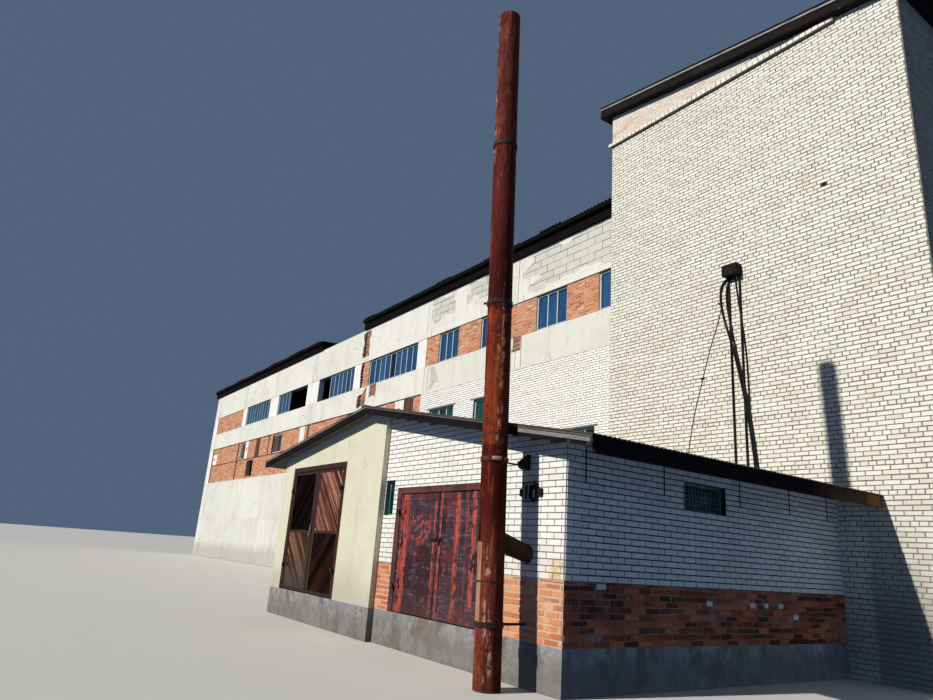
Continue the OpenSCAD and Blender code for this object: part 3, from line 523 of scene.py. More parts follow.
# Near-black soot material: painted shadow in a hole, in cracks, between door boards and under the
# render's torn edge.
PAINTED_SHADOW = mortar("soot", (0.018, 0.015, 0.014))
GARAGE_PLASTER = plaster("garage_plaster", (0.71, 0.69, 0.53), (0.53, 0.495, 0.375),
    (0.42, 0.38, 0.32), 0.79, 0.35)
WALL_RENDER = plaster("wall_render", (0.78, 0.78, 0.71), (0.51, 0.49, 0.43),
    (0.38, 0.34, 0.29), 0.69, 0.75)
GRIMY_RENDER = plaster("grimy_render", (0.55, 0.53, 0.46), (0.28, 0.26, 0.22),
    (0.20, 0.18, 0.15), 0.58, 0.75)
WHITEWASH = plaster("whitewash", (0.86, 0.86, 0.83), (0.62, 0.59, 0.52), (0.50, 0.36, 0.28), 0.70)
CONCRETE = concrete("concrete", (0.27, 0.27, 0.27))
FLOOR_CONCRETE = concrete("floor_concrete", (0.24, 0.23, 0.22))
print("masonry materials:", len(bpy.data.materials))

# %% [markdown]
# ## Timber, metal, roofing and glass
# Boards get a grain drawn out along their length, and the doors' boards run at 45
# degrees, so the grain's turn is an input. Steel here is paint over rust: the rust
# shows in patches and runs. Glass is plain and dark with a blue or green sheen, and
# each pane has its own tone, because old panes never match.


# %% Timber, metal, roofing and glass materials
RED_STRIPES = [(-1.040, -0.940, 0.8), (-0.580, -0.545, 0.8), (-0.500, -0.463, 0.75),
    (-0.310, -0.245, 0.75), (-0.115, -0.055, 0.8), (-0.180, -0.160, 0.5)]
FLUE_ACROSS = (0.61, 0.79, 0.0232)
FLUE_AXIS = -5.0986
FLUE_STRETCHES = [(2.27, 3.435, 0.008, (0.125, 0.020, 0.018)),
    (1.335, 2.27, 0.008, (0.235, 0.037, 0.014)), (-0.1, 1.335, 0.008, (0.088, 0.0105, 0.005)),
    (-0.5, 0.95, 0.35, (0.175, 0.036, 0.021))]


def timber(name, colors, turn=0.0, along_z=True, shine=0.15, foot=None):
    f = Finish(name, colors[0], roughness=0.8, shine=shine)
    f.wood(colors, along_z, turn)
    f.patches(3.5, 0.5, 0.2, dim(colors[0], 0.7), 0.6)
    if foot:
        f.layer(f.band(2, 0.0, 0.62, 0.06, 0.01, 0.30), foot, 0.85)
    return f.done()


def eave_timber(name, colors):
    """Blackened boards whose far right end is freshly split and orange."""
    f = Finish(name, colors[0], roughness=0.85, shine=0.02)
    f.wood(colors, False)
    f.patches(6.0, 0.62, 0.04, (0.10, 0.085, 0.08), 0.5)
    corner = f.both(f.band(0, 1.10, 1.20), f.band(2, 0.5, 2.5))
    split = f.both(f.band(1, -4.60, -3.50, 0.05, 0.30), corner)
    f.layer(f.both(split, f.mask(GRAIN, Scale=22.0, Stretch_X=0.06)), (0.17, 0.10, 0.065), 0.9)
    tip = f.both(f.band(1, -3.86, -3.40, 0.03, 0.06), corner)
    f.layer(f.both(tip, f.patches(9.0, 0.40, 0.1)), (0.26, 0.12, 0.05), 0.7)
    return f.done()


def worn_red_paint():
    f = Finish("worn_red_paint", (0.055, 0.026, 0.038), roughness=0.6, shine=0.10)
    f.layer(f.mask(GRAIN, Scale=16.0, Stretch_Z=0.4), (0.045, 0.030, 0.048), 0.7)
    f.patches(6.0, 0.52, 0.08, (0.16, 0.030, 0.026), 0.75)
    rubbed = f.mask(GRAIN, Scale=34.0, Stretch_X=0.3, Stretch_Z=1.8)
    f.layer(f.math("GREATER_THAN", rubbed, 0.56), (0.15, 0.115, 0.15), 0.55)
    f.streaks(40.0, 0.57, 0.03, (0.018, 0.010, 0.014), 0.7)
    f.patches(12.0, 0.55, 0.04, (0.020, 0.010, 0.012), 0.75)
    runs = f.streaks(15.0, 0.60, 0.03)
    f.layer(runs, (0.34, 0.055, 0.035), 0.7)
    dabs = f.spot((-0.90, -0.60, 0.03, 0.03), (0.66, 1.02, 0.06, 0.06))
    f.layer(f.both(dabs, f.patches(26.0, 0.52, 0.04)), (0.44, 0.070, 0.045), 0.8)
    burnt = f.spot((-0.93, -0.58, 0.03), (0.20, 0.82, 0.08, 0.05))
    scraped = f.patches(13.0, 0.44, 0.06)
    f.layer(f.both(burnt, scraped), (0.030, 0.010, 0.010), 0.85)
    kept = f.patches(15.0, 0.40, 0.08)
    scratches = f.streaks(60.0, 0.52, 0.04)
    for start, end, strength in RED_STRIPES:
        stripe = f.band(0, start, end, 0.012, 0.016)
        f.layer(f.both(stripe, kept), (0.56, 0.095, 0.058), strength)
        f.layer(f.both(stripe, scratches), (0.060, 0.016, 0.016), 0.7)
    f.layer(f.spot((-0.63, -0.45), (0.762, 0.800)), (0.02, 0.017, 0.016))
    f.splash(0.42, 0.3, (0.10, 0.05, 0.045), 0.5)
    f.grain(60.0, 0.0015, Stretch_Z=0.2)
    f.relief(scraped, 0.0008)
    return f.done()


def flue_steel():
    """Burnt-off red paint: each stretch of the flue has rusted in its own way."""
    f = Finish("flue_steel", (0.155, 0.036, 0.028), roughness=0.75, shine=0.05)
    across = f.along(FLUE_ACROSS, FLUE_AXIS)
    for low, high, fade, color in FLUE_STRETCHES:
        f.layer(f.band(2, low, high, 0.004, 0.008, fade), color)
    f.layer(f.band(2, 2.20, 3.10, 0.03, 0.01, 0.75), (0.028, 0.006, 0.006), 0.75)
    f.streaks(19.0, 0.50, 0.10, (0.035, 0.006, 0.004), 0.6)
    f.streaks(33.0, 0.58, 0.05, (0.42, 0.12, 0.045), 0.45)
    f.patches(5.0, 0.52, 0.10, (0.045, 0.008, 0.005), 0.5)
    f.patches(34.0, 0.56, 0.04, (0.050, 0.010, 0.007), 0.6)
    # Darker on the flue's side away from the key light: painted shade.
    f.layer(f.between(across, 0.030, 0.3, 0.040), (0.030, 0.006, 0.005), 0.65)
    flakes = f.both(f.streaks(60.0, 0.49, 0.04), f.patches(30.0, 0.42, 0.08))
    torn = f.patches(6.0, 0.44, 0.10)
    for low, high, left, right, color in ((1.28, 2.26, -0.010, 0.050, (0.60, 0.38, 0.24)),
            (0.02, 0.80, -0.040, 0.030, (0.50, 0.32, 0.23)),
            (3.30, 4.70, -0.09, -0.060, (0.50, 0.33, 0.30)),
            (3.30, 4.70, 0.066, 0.080, (0.44, 0.34, 0.30))):
        place = f.both(f.band(2, low, high, 0.02, 0.02), f.between(across, left, right, 0.014))
        f.layer(f.both(place, f.both(flakes, torn)), color, 0.85)
    worn_strip = f.both(f.between(across, -0.2, -0.0514, 0.006), f.band(2, 0.333, 0.777, 0.004))
    f.layer(worn_strip, (0.47, 0.27, 0.165), 0.85)
    f.layer(f.both(worn_strip, f.streaks(36.0, 0.50, 0.06)), (0.25, 0.085, 0.05), 0.6)
    f.grain(80.0, 0.0015)
    f.relief(flakes, 0.0012)
    return f.done()


def strap_steel():
    """The middle strap: bare and pale on its right side, rusted like the flue on its left."""
    f = Finish("strap_steel", (0.13, 0.018, 0.009), roughness=0.8, shine=0.05)
    across = f.along(FLUE_ACROSS, FLUE_AXIS)
    f.patches(24.0, 0.55, 0.05, (0.30, 0.10, 0.06), 0.6)
    f.layer(f.between(across, -0.016, 0.048, 0.006), (0.62, 0.50, 0.33), 0.9)
    f.layer(f.between(across, 0.056, 0.080, 0.004), (0.45, 0.22, 0.18), 0.6)
    return f.done()


def rusty_steel(name, color, light, dark):
    f = Finish(name, color, roughness=0.75, shine=0.08)
    f.streaks(17.0, 0.45, 0.10, dark, 0.8)
    f.streaks(31.0, 0.57, 0.05, light, 0.6)
    f.patches(2.2, 0.50, 0.12, dark, 0.55)
    flakes = f.patches(26.0, 0.63, 0.03)
    f.layer(flakes, light, 0.5)
    f.grain(80.0, 0.0015)
    f.relief(flakes, 0.001)
    return f.done()


def sheet_roofing():
    f = Finish("sheet_roofing", (0.085, 0.080, 0.076), roughness=0.9)
    greys = [(0.060, 0.055, 0.052), (0.075, 0.070, 0.066), (0.105, 0.098, 0.092)]
    f.color = f.ramp(f.tone(), greys)
    f.patches(2.0, 0.52, 0.12, (0.17, 0.17, 0.13), 0.6)
    f.patches(14.0, 0.62, 0.03, (0.30, 0.29, 0.24), 0.5)
    f.grain(70.0, 0.002)
    return f.done()


def felt_roofing():
    f = Finish("felt_roofing", (0.016, 0.014, 0.014), roughness=0.95, shine=0.04)
    f.patches(0.8, 0.48, 0.2, (0.034, 0.030, 0.028), 0.8)
    f.layer(f.mask(CRACKS, Scale=0.7, Width=0.012), (0.008, 0.008, 0.008), 0.7)
    f.grain(120.0, 0.0015)
    return f.done()


def painted(name, color, bare, roughness=0.6, start=0.57):
    f = Finish(name, color, roughness=roughness)
    f.layer(f.mask(GRAIN, Scale=20.0), dim(color, 0.75), 0.5)
    f.patches(11.0, start, 0.03, bare, 0.9)
    return f.done()


def window_glass(name, colors):
    f = Finish(name, colors[0], roughness=0.15, shine=0.5)
    f.color = f.ramp(f.tone(), colors)
    dust = f.streaks(12.0, 0.45, 0.3)
    f.layer(dust, [min(1, c * 1.9 + 0.02) for c in colors[-1]], 0.35)
    return f.done()


SLOPE = math.pi / 4
EAVE_TIMBER = eave_timber("eave_timber", [(0.014, 0.011, 0.013), (0.030, 0.026, 0.028)])
RIM_TIMBER = timber("rim_timber", [(0.13, 0.12, 0.11), (0.36, 0.34, 0.32)], along_z=False)
SOFFIT_TIMBER = timber("soffit_timber", [(0.13, 0.095, 0.07), (0.26, 0.21, 0.16)], along_z=False)
FRAME_TIMBER = timber("frame_timber", [(0.050, 0.026, 0.022), (0.10, 0.052, 0.042)], shine=0.06)
STILE_TIMBER = timber("stile_timber", [(0.028, 0.025, 0.022), (0.06, 0.055, 0.05)], shine=0.06)
RED_BOARDS = timber("red_boards", [(0.050, 0.012, 0.009), (0.22, 0.072, 0.050),
    (0.46, 0.22, 0.17)], turn=SLOPE, shine=0.06)
BLACK_BOARDS = timber("black_boards", [(0.0010, 0.0004, 0.0004), (0.0055, 0.0016, 0.0014)],
    turn=-SLOPE, shine=0.0)
LIGHT_BOARDS = timber("light_boards", [(0.041, 0.014, 0.008), (0.27, 0.100, 0.040),
    (0.22, 0.125, 0.082)], turn=SLOPE, shine=0.06, foot=(0.050, 0.046, 0.050))
DARK_BOARDS = timber("dark_boards", [(0.005, 0.0017, 0.0014), (0.019, 0.0050, 0.0038),
    (0.052, 0.015, 0.012)], turn=-SLOPE, shine=0.0)
LATCH_IRON = rusty_steel("latch_iron", (0.15, 0.15, 0.14), (0.30, 0.29, 0.27), (0.05, 0.05, 0.05))
RED_PAINT = worn_red_paint()
RED_FRAME = painted("red_frame_paint", (0.12, 0.038, 0.034), (0.05, 0.022, 0.020), start=0.5)
FLUE_RUST = flue_steel()
STRAP_RUST = strap_steel()
DARK_RUST = rusty_steel("dark_rust", (0.06, 0.03, 0.022), (0.13, 0.05, 0.03), (0.03, 0.02, 0.018))
BLACK_STEEL = rusty_steel("black_steel", (0.018, 0.018, 0.02), (0.05, 0.04, 0.035),
    (0.01, 0.01, 0.011))
WORN_STEEL = painted("worn_steel", (0.48, 0.49, 0.52), (0.12, 0.11, 0.10), 0.5, 0.62)
SHEET_ROOFING = sheet_roofing()
FELT_ROOFING = felt_roofing()
# Near-black boards for the range's roof deck and sheet slab: painted shade under the overhanging
# sheets.
DECK_SHADE = timber("deck_shade", [(0.006, 0.005, 0.005), (0.012, 0.011, 0.010)], along_z=False,
    shine=0.03)
TEAL_PAINT = painted("teal_paint", (0.50, 0.62, 0.61), (0.45, 0.40, 0.34))
PALE_PAINT = painted("pale_paint", (0.60, 0.66, 0.60), (0.40, 0.36, 0.30))
GREEN_PAINT = painted("green_paint", (0.07, 0.25, 0.20), (0.40, 0.38, 0.33))
BLUE_GLASS = window_glass("blue_glass", [(0.004, 0.008, 0.014), (0.012, 0.045, 0.12),
    (0.022, 0.09, 0.22)])
GREEN_GLASS = window_glass("green_glass", [(0.006, 0.02, 0.022), (0.014, 0.065, 0.065)])
LINTEL_DARK = painted("lintel_dark", (0.13, 0.11, 0.10), (0.24, 0.20, 0.17))
WOOD_BLOCKING = timber("blocking_boards", [(0.10, 0.045, 0.035), (0.15, 0.07, 0.05)])
print("materials:", len(bpy.data.materials))


# %% [markdown]
# ## Dressing the CAD nodes
# A CAD node keeps its shape and only gets a material. Where bricks or panels will be
# laid over a wall, the wall itself is what shows in the joints, so it gets mortar.


# %% Materials of the CAD nodes
NODE_FINISHES = (
    (GREY_MORTAR, "block_front_wall block_back_wall block_left_wall block_right_wall "
        "string_course"),
    (LIGHT_MORTAR, "range_brick_wall brick_wall_beside_door brick_wall_over_door"),
    (DARK_MORTAR, "garage_side_wall"),
    (PALE_MORTAR, "garage_plinth range_lower_infill range_upper_infill"),
    (FELT_ROOFING, "block_roof"),
    (DECK_SHADE, "range_roof_deck range_roof_sheets"),
    (SHEET_ROOFING, "garage_roof_sheets"),
    (SOFFIT_TIMBER, "garage_roof"),
    (EAVE_TIMBER, "roof_edge_boards"),
    (BLACK_STEEL, "cable_bracket wall_lamp meter_box roof_straps"),
    (FLOOR_CONCRETE, "floors"),
    (CONCRETE, "garage_base"),
    (WALL_RENDER, "range_end_wall range_base_wall range_back_bands"),
    (JOINT_SHADOW, "range_spandrel range_parapet"),
    (WHITEWASH, "range_piers range_back_piers"),
    (GARAGE_PLASTER, "plaster_wall_beside_door plaster_wall_over_door garage_far_walls"),
    (FRAME_TIMBER, "plank_door_frame plank_door_left plank_door_right"),
    (RED_FRAME, "red_door_frame"),
    (RED_PAINT, "red_door_left red_door_right"),
    (TEAL_PAINT, "range_window_frames"),
    (GREEN_PAINT, "garage_window_frames"),
    (BLUE_GLASS, "window_glass"),
    (FLUE_RUST, "flue_pipe"),
    (DARK_RUST, "flue_link flue_brackets"),
)
for material, names in NODE_FINISHES:
    for name in names.split():
        nodes[name].data.materials.clear()
        nodes[name].data.materials.append(material)
print("CAD nodes with a finish:", sum(len(names.split()) for _, names in NODE_FINISHES))

# %% [markdown]
# ## Walls as flat sheets to build on
# Every brick, panel and board lies on a flat face of a CAD solid. A wall is kept as a
# corner, a direction along it and a direction out of it. Places on it are then two
# numbers: how far along, and how high. Many nodes hold several solids, so a helper
# finds each solid's own box by joining up the triangles that share corners.


# %% Walls and solids
UP = Vector((0, 0, 1))


def wall_of(low, high, side):
    """The plane of one side of a box: front is -Y, right is +X, back +Y, left -X."""
    x, y = Vector((1, 0, 0)), Vector((0, 1, 0))
    sides = {
        "front": (Vector((low.x, low.y, 0)), x, high.x - low.x),
        "right": (Vector((high.x, low.y, 0)), y, high.y - low.y),
        "back": (Vector((high.x, high.y, 0)), -x, high.x - low.x),
        "left": (Vector((low.x, high.y, 0)), -y, high.y - low.y),
    }
    corner, along, length = sides[side]
    return {"corner": corner, "along": along, "out": along.cross(UP), "length": length,
        "low": low.z, "high": high.z}


def solids_of(name):
    """The lowest and highest corner of every separate solid in a CAD node."""
    mesh = nodes[name].data
    seen, leader = {}, []
    corner = []
    for vertex in mesh.vertices:
        key = tuple(round(v, 4) for v in vertex.co)
        if key not in seen:
            seen[key] = len(leader)
            leader.append(len(leader))
        corner.append(seen[key])

    def head(i):
        while leader[i] != i:
            leader[i] = leader[leader[i]]
            i = leader[i]
        return i

    for face in mesh.polygons:
        first = head(corner[face.vertices[0]])
        for v in face.vertices[1:]:
            leader[head(corner[v])] = first
    groups = {}
    for key, i in seen.items():
        groups.setdefault(head(i), []).append(key)
    boxes = [(Vector(np.min(g, 0)), Vector(np.max(g, 0))) for g in groups.values()]
    return sorted(boxes, key=lambda b: tuple(b[0]))


frames = solids_of("range_window_frames")
front_frames = [b for b in frames if b[1].y < 0]
rear_frames = [b for b in frames if b[0].y > 0]
print("front windows:", len(front_frames), "rear windows:", len(rear_frames))

# %% [markdown]
# ## One brick, laid thousands of times
# Bricks could be a texture, but real ones catch the low light on their edges and hold
# up in close views. One brick is modelled by hand: a cube without its hidden back,
# its front drawn in a little to soften the arrises. The same eight corners are then
# set to each brick's own place and length, and all bricks of a wall are one mesh.


# %% The brick that all others copy
def finish_piece(piece, material, body="building"):
    """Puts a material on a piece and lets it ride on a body."""
    piece.data.materials.clear()
    piece.data.materials.append(material)
    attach(piece, body)
    return piece


def take_shape(piece):
    """The corners and faces of a modelled shape, which is then deleted."""
    corners = np.array([v.co for v in piece.data.vertices])
    faces = np.array([list(f.vertices) for f in piece.data.polygons])
    bpy.data.objects.remove(piece)
    return corners, faces


def copies(name, places, faces, tones, material, body="building"):
    """One mesh of many copies of a shape. Places holds each copy's corners."""
    count, corners = places.shape[:2]
    every = (faces[None] + corners * np.arange(count)[:, None, None]).reshape(-1, 4)
    mesh = bpy.data.meshes.new(name)
    mesh.from_pydata(places.reshape(-1, 3).tolist(), [], every.tolist())
    tone = mesh.attributes.new("tone", "FLOAT", "POINT")
    tone.data.foreach_set("value", np.repeat(np.array(tones, dtype=np.float32), corners))
    piece = bpy.data.objects.new(name, mesh)
    bpy.context.collection.objects.link(piece)
    print(name, count, "copies")
    return finish_piece(piece, material, body)


def pick(piece):
    """Makes a piece the only one that is selected, and the active one."""
    bpy.ops.object.select_all(action="DESELECT")
    bpy.context.view_layer.objects.active = piece
    piece.select_set(True)


def modify(piece, kind, **settings):
    """Gives a piece a modifier with these settings and applies it."""
    pick(piece)
    made = piece.modifiers.new(kind, kind)
    for setting, value in settings.items():
        setattr(made, setting, value)
    bpy.ops.object.modifier_apply(modifier=kind)


def model_brick():
    """A unit brick, front at y = 0 and back open at y = 1, as corners and faces."""
    bpy.ops.mesh.primitive_cube_add(size=1, location=(0.5, 0.5, 0.5))
    bpy.ops.object.transform_apply(location=True)
    brick = bpy.context.object
    bpy.ops.object.mode_set(mode="EDIT")
    bpy.ops.mesh.select_all(action="DESELECT")
    bpy.ops.object.mode_set(mode="OBJECT")
    for face in brick.data.polygons:
        face.select = face.normal.y > 0.9
    bpy.ops.object.mode_set(mode="EDIT")
    bpy.ops.mesh.delete(type="ONLY_FACE")
    bpy.ops.object.mode_set(mode="OBJECT")
    return take_shape(brick)


BRICK_CORNERS, BRICK_FACES = model_brick()
print("brick:", len(BRICK_CORNERS), "corners,", len(BRICK_FACES), "faces")


# %% Laying bricks and plates on a wall
def lay(name, wall, rects, depth, soften, material, slot, seed=None, top=None, lift=None):
    """One mesh of plates on a wall. A rect is (start, end, bottom, top) in metres along
    and up the wall; top is a function that gives the height where the wall ends. Seed
    is for the tones, and lift is the seed and spread of how far the plates stand out."""
    kept, heights = [], []
    for i, (a0, a1, c0, c1) in enumerate(rects):
        ends = (c1, c1) if top is None else (min(c1, top(a0)), min(c1, top(a1)))
        if min(ends) - c0 > 3 * soften and a1 - a0 > 3 * soften:
            kept.append(i)
            heights.append(ends)
    r = np.array([rects[i] for i in kept])
    heights = np.array(heights)
    u, w, v = BRICK_CORNERS[:, 0], BRICK_CORNERS[:, 1], BRICK_CORNERS[:, 2]
    front = 1 - w
    lifts = tones_for(rects, *lift) if lift else [1.0] * len(rects)
    along = r[:, :1] + (r[:, 1:2] - r[:, :1]) * u + soften * front * (1 - 2 * u)
    upper = heights[:, :1] + (heights[:, 1:] - heights[:, :1]) * u
    up = r[:, 2:3] + (upper - r[:, 2:3]) * v + soften * front * (1 - 2 * v)
    out = depth * np.array([lifts[i] for i in kept])[:, None] * front
    places = (np.array(wall["corner"]) + along[..., None] * np.array(wall["along"])
        + up[..., None] * np.array(UP) + out[..., None] * np.array(wall["out"]))
    tones = tones_for(rects, seed) if seed else [0.5] * len(rects)
    return copies(name, places, BRICK_FACES, [tones[i] for i in kept], material)


def without(rects, holes, least=0.006):
    """Cuts rectangular holes out of rects and keeps the parts that are left."""
    for h0, h1, k0, k1 in holes:
        left = []
        for a0, a1, c0, c1 in rects:
            if a1 <= h0 or a0 >= h1 or c1 <= k0 or c0 >= k1:
                left.append((a0, a1, c0, c1))
                continue
            parts = [(a0, min(a1, h0), c0, c1), (max(a0, h1), a1, c0, c1),
                (max(a0, h0), min(a1, h1), c0, k0), (max(a0, h0), min(a1, h1), k1, c1)]
            left += [p for p in parts if p[1] - p[0] > least and p[3] - p[2] > least]
        rects = left
    return rects


def courses(length, low, high, bond, header_every=0, first=0):
    """Rects of bricks in running bond, with a course of headers now and then."""
    rects = []
    rows = math.ceil((high - low) / bond["rise"])
    half_joint = bond["joint"] / 2
    for row in range(rows):
        bottom = low + row * bond["rise"]
        number = row + first
        header = header_every and number % header_every == header_every - 1
        step = bond["run"] / 2 if header else bond["run"]
        start = -step / 2 if number % 2 else 0
        if header:
            start = -step / 2
        for i in range(math.ceil((length - start) / step)):
            a0 = max(0.0, start + i * step)
            a1 = min(length, start + (i + 1) * step)
            rects.append((a0 + half_joint, a1 - half_joint, bottom + half_joint,
                min(bottom + bond["rise"], high) - half_joint))
    return rects


def tones_for(rects, seed, spread=1.0):
    """A tone for every brick, the same at each run."""
    chance = random.Random(seed)
    return [0.5 + spread * (chance.random() - 0.5) for _ in rects]


# %% Depths of plates and sizes of bricks
# a plate's depth, and how far its front edges are drawn in
NEAT = (0.0035, 0.0012)
ROUGH = (0.006, 0.0015)
PLINTH = (0.005, 0.0015)
PANEL = (0.006, 0.0025)
# a brick's length and height with one joint, and the joint
WHITE_BOND = {"run": 0.128, "rise": 0.0388, "joint": 0.0055}
RED_BOND = {"run": 0.128, "rise": 0.0388, "joint": 0.007}
GARAGE_BOND = {"run": 0.121, "rise": 0.0369, "joint": 0.0052}
COURSE_BOND = {"run": 0.064, "rise": 0.050, "joint": 0.005}
BLOCK_BOND = {"run": 0.31, "rise": 0.128, "joint": 0.0025}

# %% [markdown]
# ## Boxes and weathering
# Bars, ledges and rims are boxes with softened edges, many of them in one mesh. On a
# sloping roof they are sheared rather than turned, so that their ends stay upright as
# a carpenter leaves them. Weathering takes a little off every brick, and in patches
# it takes the whole skin of render, whose rim is then ragged.

# %% Boxes from lists
def model_box():
    """A unit cube's corners and faces, read from the primitive."""
    bpy.ops.mesh.primitive_cube_add(size=1, location=(0.5, 0.5, 0.5))
    bpy.ops.object.transform_apply(location=True)
    cube = bpy.context.object
    return take_shape(cube)


BOX_CORNERS, BOX_FACES = model_box()


def boxes(name, spans, material, slot, tones=None, body="building", soften=0.0, slope=None):
    """One mesh of boxes; a span is (x0, x1, y0, y1, z0, z1). A slope (x, rise) lifts
    them by rise for each metre along X from x."""
    ends = np.array(spans, dtype=float)
    least, size = ends[:, 0::2], ends[:, 1::2] - ends[:, 0::2]
    places = least[:, None] + size[:, None] * BOX_CORNERS[None]
    if slope:
        places[..., 2] += slope[1] * (places[..., 0] - slope[0])
    piece = copies(name, places, BOX_FACES, tones or [0.5] * len(ends), material, body)
    if soften:
        modify(piece, "BEVEL", width=soften, segments=2)
    return piece


def side_by_side(start, end, count, gap=0.002):
    """Splits a length into equal parts and leaves a gap at both ends of each."""
    step = (end - start) / count
    return [(start + i * step + gap, start + (i + 1) * step - gap) for i in range(count)]


# %% Wear on bricks and render
def worn(rects, seed, most, lost=0.0):
    """Shrinks each brick a little at random, as the weather does, and drops a few."""
    chance = random.Random(seed)
    kept = []
    for a0, a1, c0, c1 in rects:
        eaten = [most * chance.random() ** 2 for _ in range(4)]
        if chance.random() >= lost:
            kept.append((a0 + eaten[0], a1 - eaten[1], c0 + eaten[2], c1 - eaten[3]))
    return kept


def flaked(patches, cell, keep, seed, middle=False):
    """Small cells of render that survive round the rim of each patch, or in its middle."""
    cells = []
    for h0, h1, k0, k1 in patches:
        columns, rows = math.ceil((h1 - h0) / cell), math.ceil((k1 - k0) / cell * 2)
        for i in range(columns):
            for j in range(rows):
                a, c = h0 + i * cell, k0 + j * cell / 2
                rim = max(abs(2 * (i + 0.5) / columns - 1), abs(2 * (j + 0.5) / rows - 1))
                if middle:
                    rim = 1 - rim
                if rim + 0.9 * noise.noise(Vector((a * 2.6, c * 4.2, seed))) > keep:
                    cells.append((a, min(h1, a + cell), c, min(k1, c + cell / 2)))
    return cells


# %% [markdown]
# ## The tall block
# Its four walls are white brick with a course of headers in every six. The two gable
# walls are cut off by the sloping roof, so the courses stop under a line that falls
# to the right. The left wall only shows above the roof of the range, and over its
# full height where the block stands forward of it.

# %% Bricks of the tall block
low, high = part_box("block_front_wall")
right_low, right_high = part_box("block_right_wall")
block_fall = (high.z - right_high.z) / (right_low.x - low.x)
low_corner = high.z - block_fall * (high.x - low.x)
range_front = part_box("range_spandrel")[0].y
range_roof_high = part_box("range_roof_sheets")[1].z
course_low, course_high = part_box("string_course")


def block_top(a):
    """Height of the front wall under the roof, a metres from its left corner."""
    return high.z - block_fall * a


front = wall_of(*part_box("block_front_wall"), "front")
rects = courses(front["length"], 0, high.z, WHITE_BOND, 6)
course_hole = (0, course_high.x - low.x, course_low.z, course_high.z)
missing_brick = (2.600, 2.648, 4.156, 4.190)
rects = without(rects, [course_hole, missing_brick])
WEDGE_END = 1.9
wedge = [r for r in rects if r[2] > course_high.z - 0.01 and r[0] < WEDGE_END]
plain = worn([r for r in rects if r not in wedge], 2, 0.003)
lay("block_bricks_front", front, plain, *NEAT, BLOCK_BRICK, "white_brick", 1, block_top)
wedge = worn(wedge, 3, 0.004)
wedge_bed = [(0.006, WEDGE_END - 0.01, course_high.z + 0.002, high.z)]
lay("block_wedge_mortar", front, wedge_bed, 0.0024, 0, WEDGE_MORTAR, "red_brick", top=block_top)
lay("block_bricks_wedge", front, wedge, *NEAT, WEDGE_BRICK, "red_brick", 4, block_top)
# A near-black plate in the hole of the missing brick: painted shadow.
lay("block_missing_brick_shadow", front, [missing_brick], 0.0006, 0, PAINTED_SHADOW, "white_brick")

back = wall_of(*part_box("block_back_wall"), "back")
rects = courses(back["length"], 0, high.z, WHITE_BOND, 6)
lay("block_bricks_back", back, rects, *NEAT, BLOCK_BRICK, "white_brick",
    2, lambda a: low_corner + block_fall * a)

course = wall_of(course_low, course_high, "front")
rects = worn(courses(course["length"], course_low.z, course_high.z, COURSE_BOND), 5, 0.004)
lay("string_course_bricks", course, rects, *NEAT, BLOCK_BRICK, "white_brick", 6)

side_low, side_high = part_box("block_front_wall")[0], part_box("block_back_wall")[1]
right_wall = wall_of(side_low, side_high, "right")
rects = courses(right_wall["length"], 0, low_corner, WHITE_BOND, 6, first=1)
lay("block_bricks_right", right_wall, rects, *NEAT, BLOCK_SHADE_BRICK, "white_brick", 3)

left_wall = wall_of(side_low, side_high, "left")
rects = courses(left_wall["length"], 0, high.z, WHITE_BOND, 6, first=1)
range_back_on_wall = side_high.y - range_front
eave_drop = 0.30
rects = without(rects, [(0, range_back_on_wall, 0, range_roof_high - eave_drop)])
lay("block_bricks_left", left_wall, rects, *NEAT, BLOCK_BRICK, "white_brick", 4)

# %% [markdown]
# ## The range's white brick stretch and its red infill
# The lower storey next to the block is white brick with three windows. Further on,
# orange-red brick fills the old window strips between bands of render. The holes of
# the windows come from the frames' own boxes, and the gap in the brick from the record.

# %% Bricks of the range
def holes_on(wall, boxes, grow=0.0):
    """The rectangles that boxes cover on a wall, seen square on."""
    holes = []
    for b_low, b_high in boxes:
        ends = [(p - wall["corner"]).dot(wall["along"]) for p in (b_low, b_high)]
        holes.append((min(ends) - grow, max(ends) + grow, b_low.z - grow, b_high.z + grow))
    return holes


white_wall = wall_of(*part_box("range_brick_wall"), "front")
rects = courses(white_wall["length"], 0, white_wall["high"], WHITE_BOND, 7)
rects = worn(without(rects, holes_on(white_wall, front_frames)), 8, 0.002)
lay("range_bricks_white", white_wall, rects, *NEAT, PALE_BRICK, "range_brick", 5)

gap_low, gap_high = (Vector(v) for v in openings["gap_in_red_brick"])
gap_edge = 0.010
lower_wall = wall_of(*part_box("range_lower_infill"), "front")
rects = courses(lower_wall["length"], lower_wall["low"], lower_wall["high"], RED_BOND)
rects = without(rects, holes_on(lower_wall, front_frames)
    + holes_on(lower_wall, [(gap_low, gap_high)], gap_edge))
rects = worn(rects, 9, 0.006, 0.02)
lay("range_bricks_lower", lower_wall, rects, *ROUGH, INFILL_BRICK, "infill_brick",
    6, lift=(7, 0.9))

for i, (b_low, b_high) in enumerate(solids_of("range_upper_infill")):
    wall = wall_of(b_low, b_high, "front")
    rects = courses(wall["length"], wall["low"], wall["high"], RED_BOND, first=i)
    rects = worn(rects, 10 + i, 0.006, 0.03)
    lay(f"range_bricks_upper_{i + 1}", wall, rects, *ROUGH, INFILL_BRICK,
        "infill_brick", 20 + i, lift=(40 + i, 0.9))

# %% [markdown]
# ## The garage's brickwork
# The garage is white brick in plain stretcher bond over a red plinth. A few white
# bricks are mixed into the plinth of its side wall. The front wall stops under the
# sloping roof, and both walls have a small window.

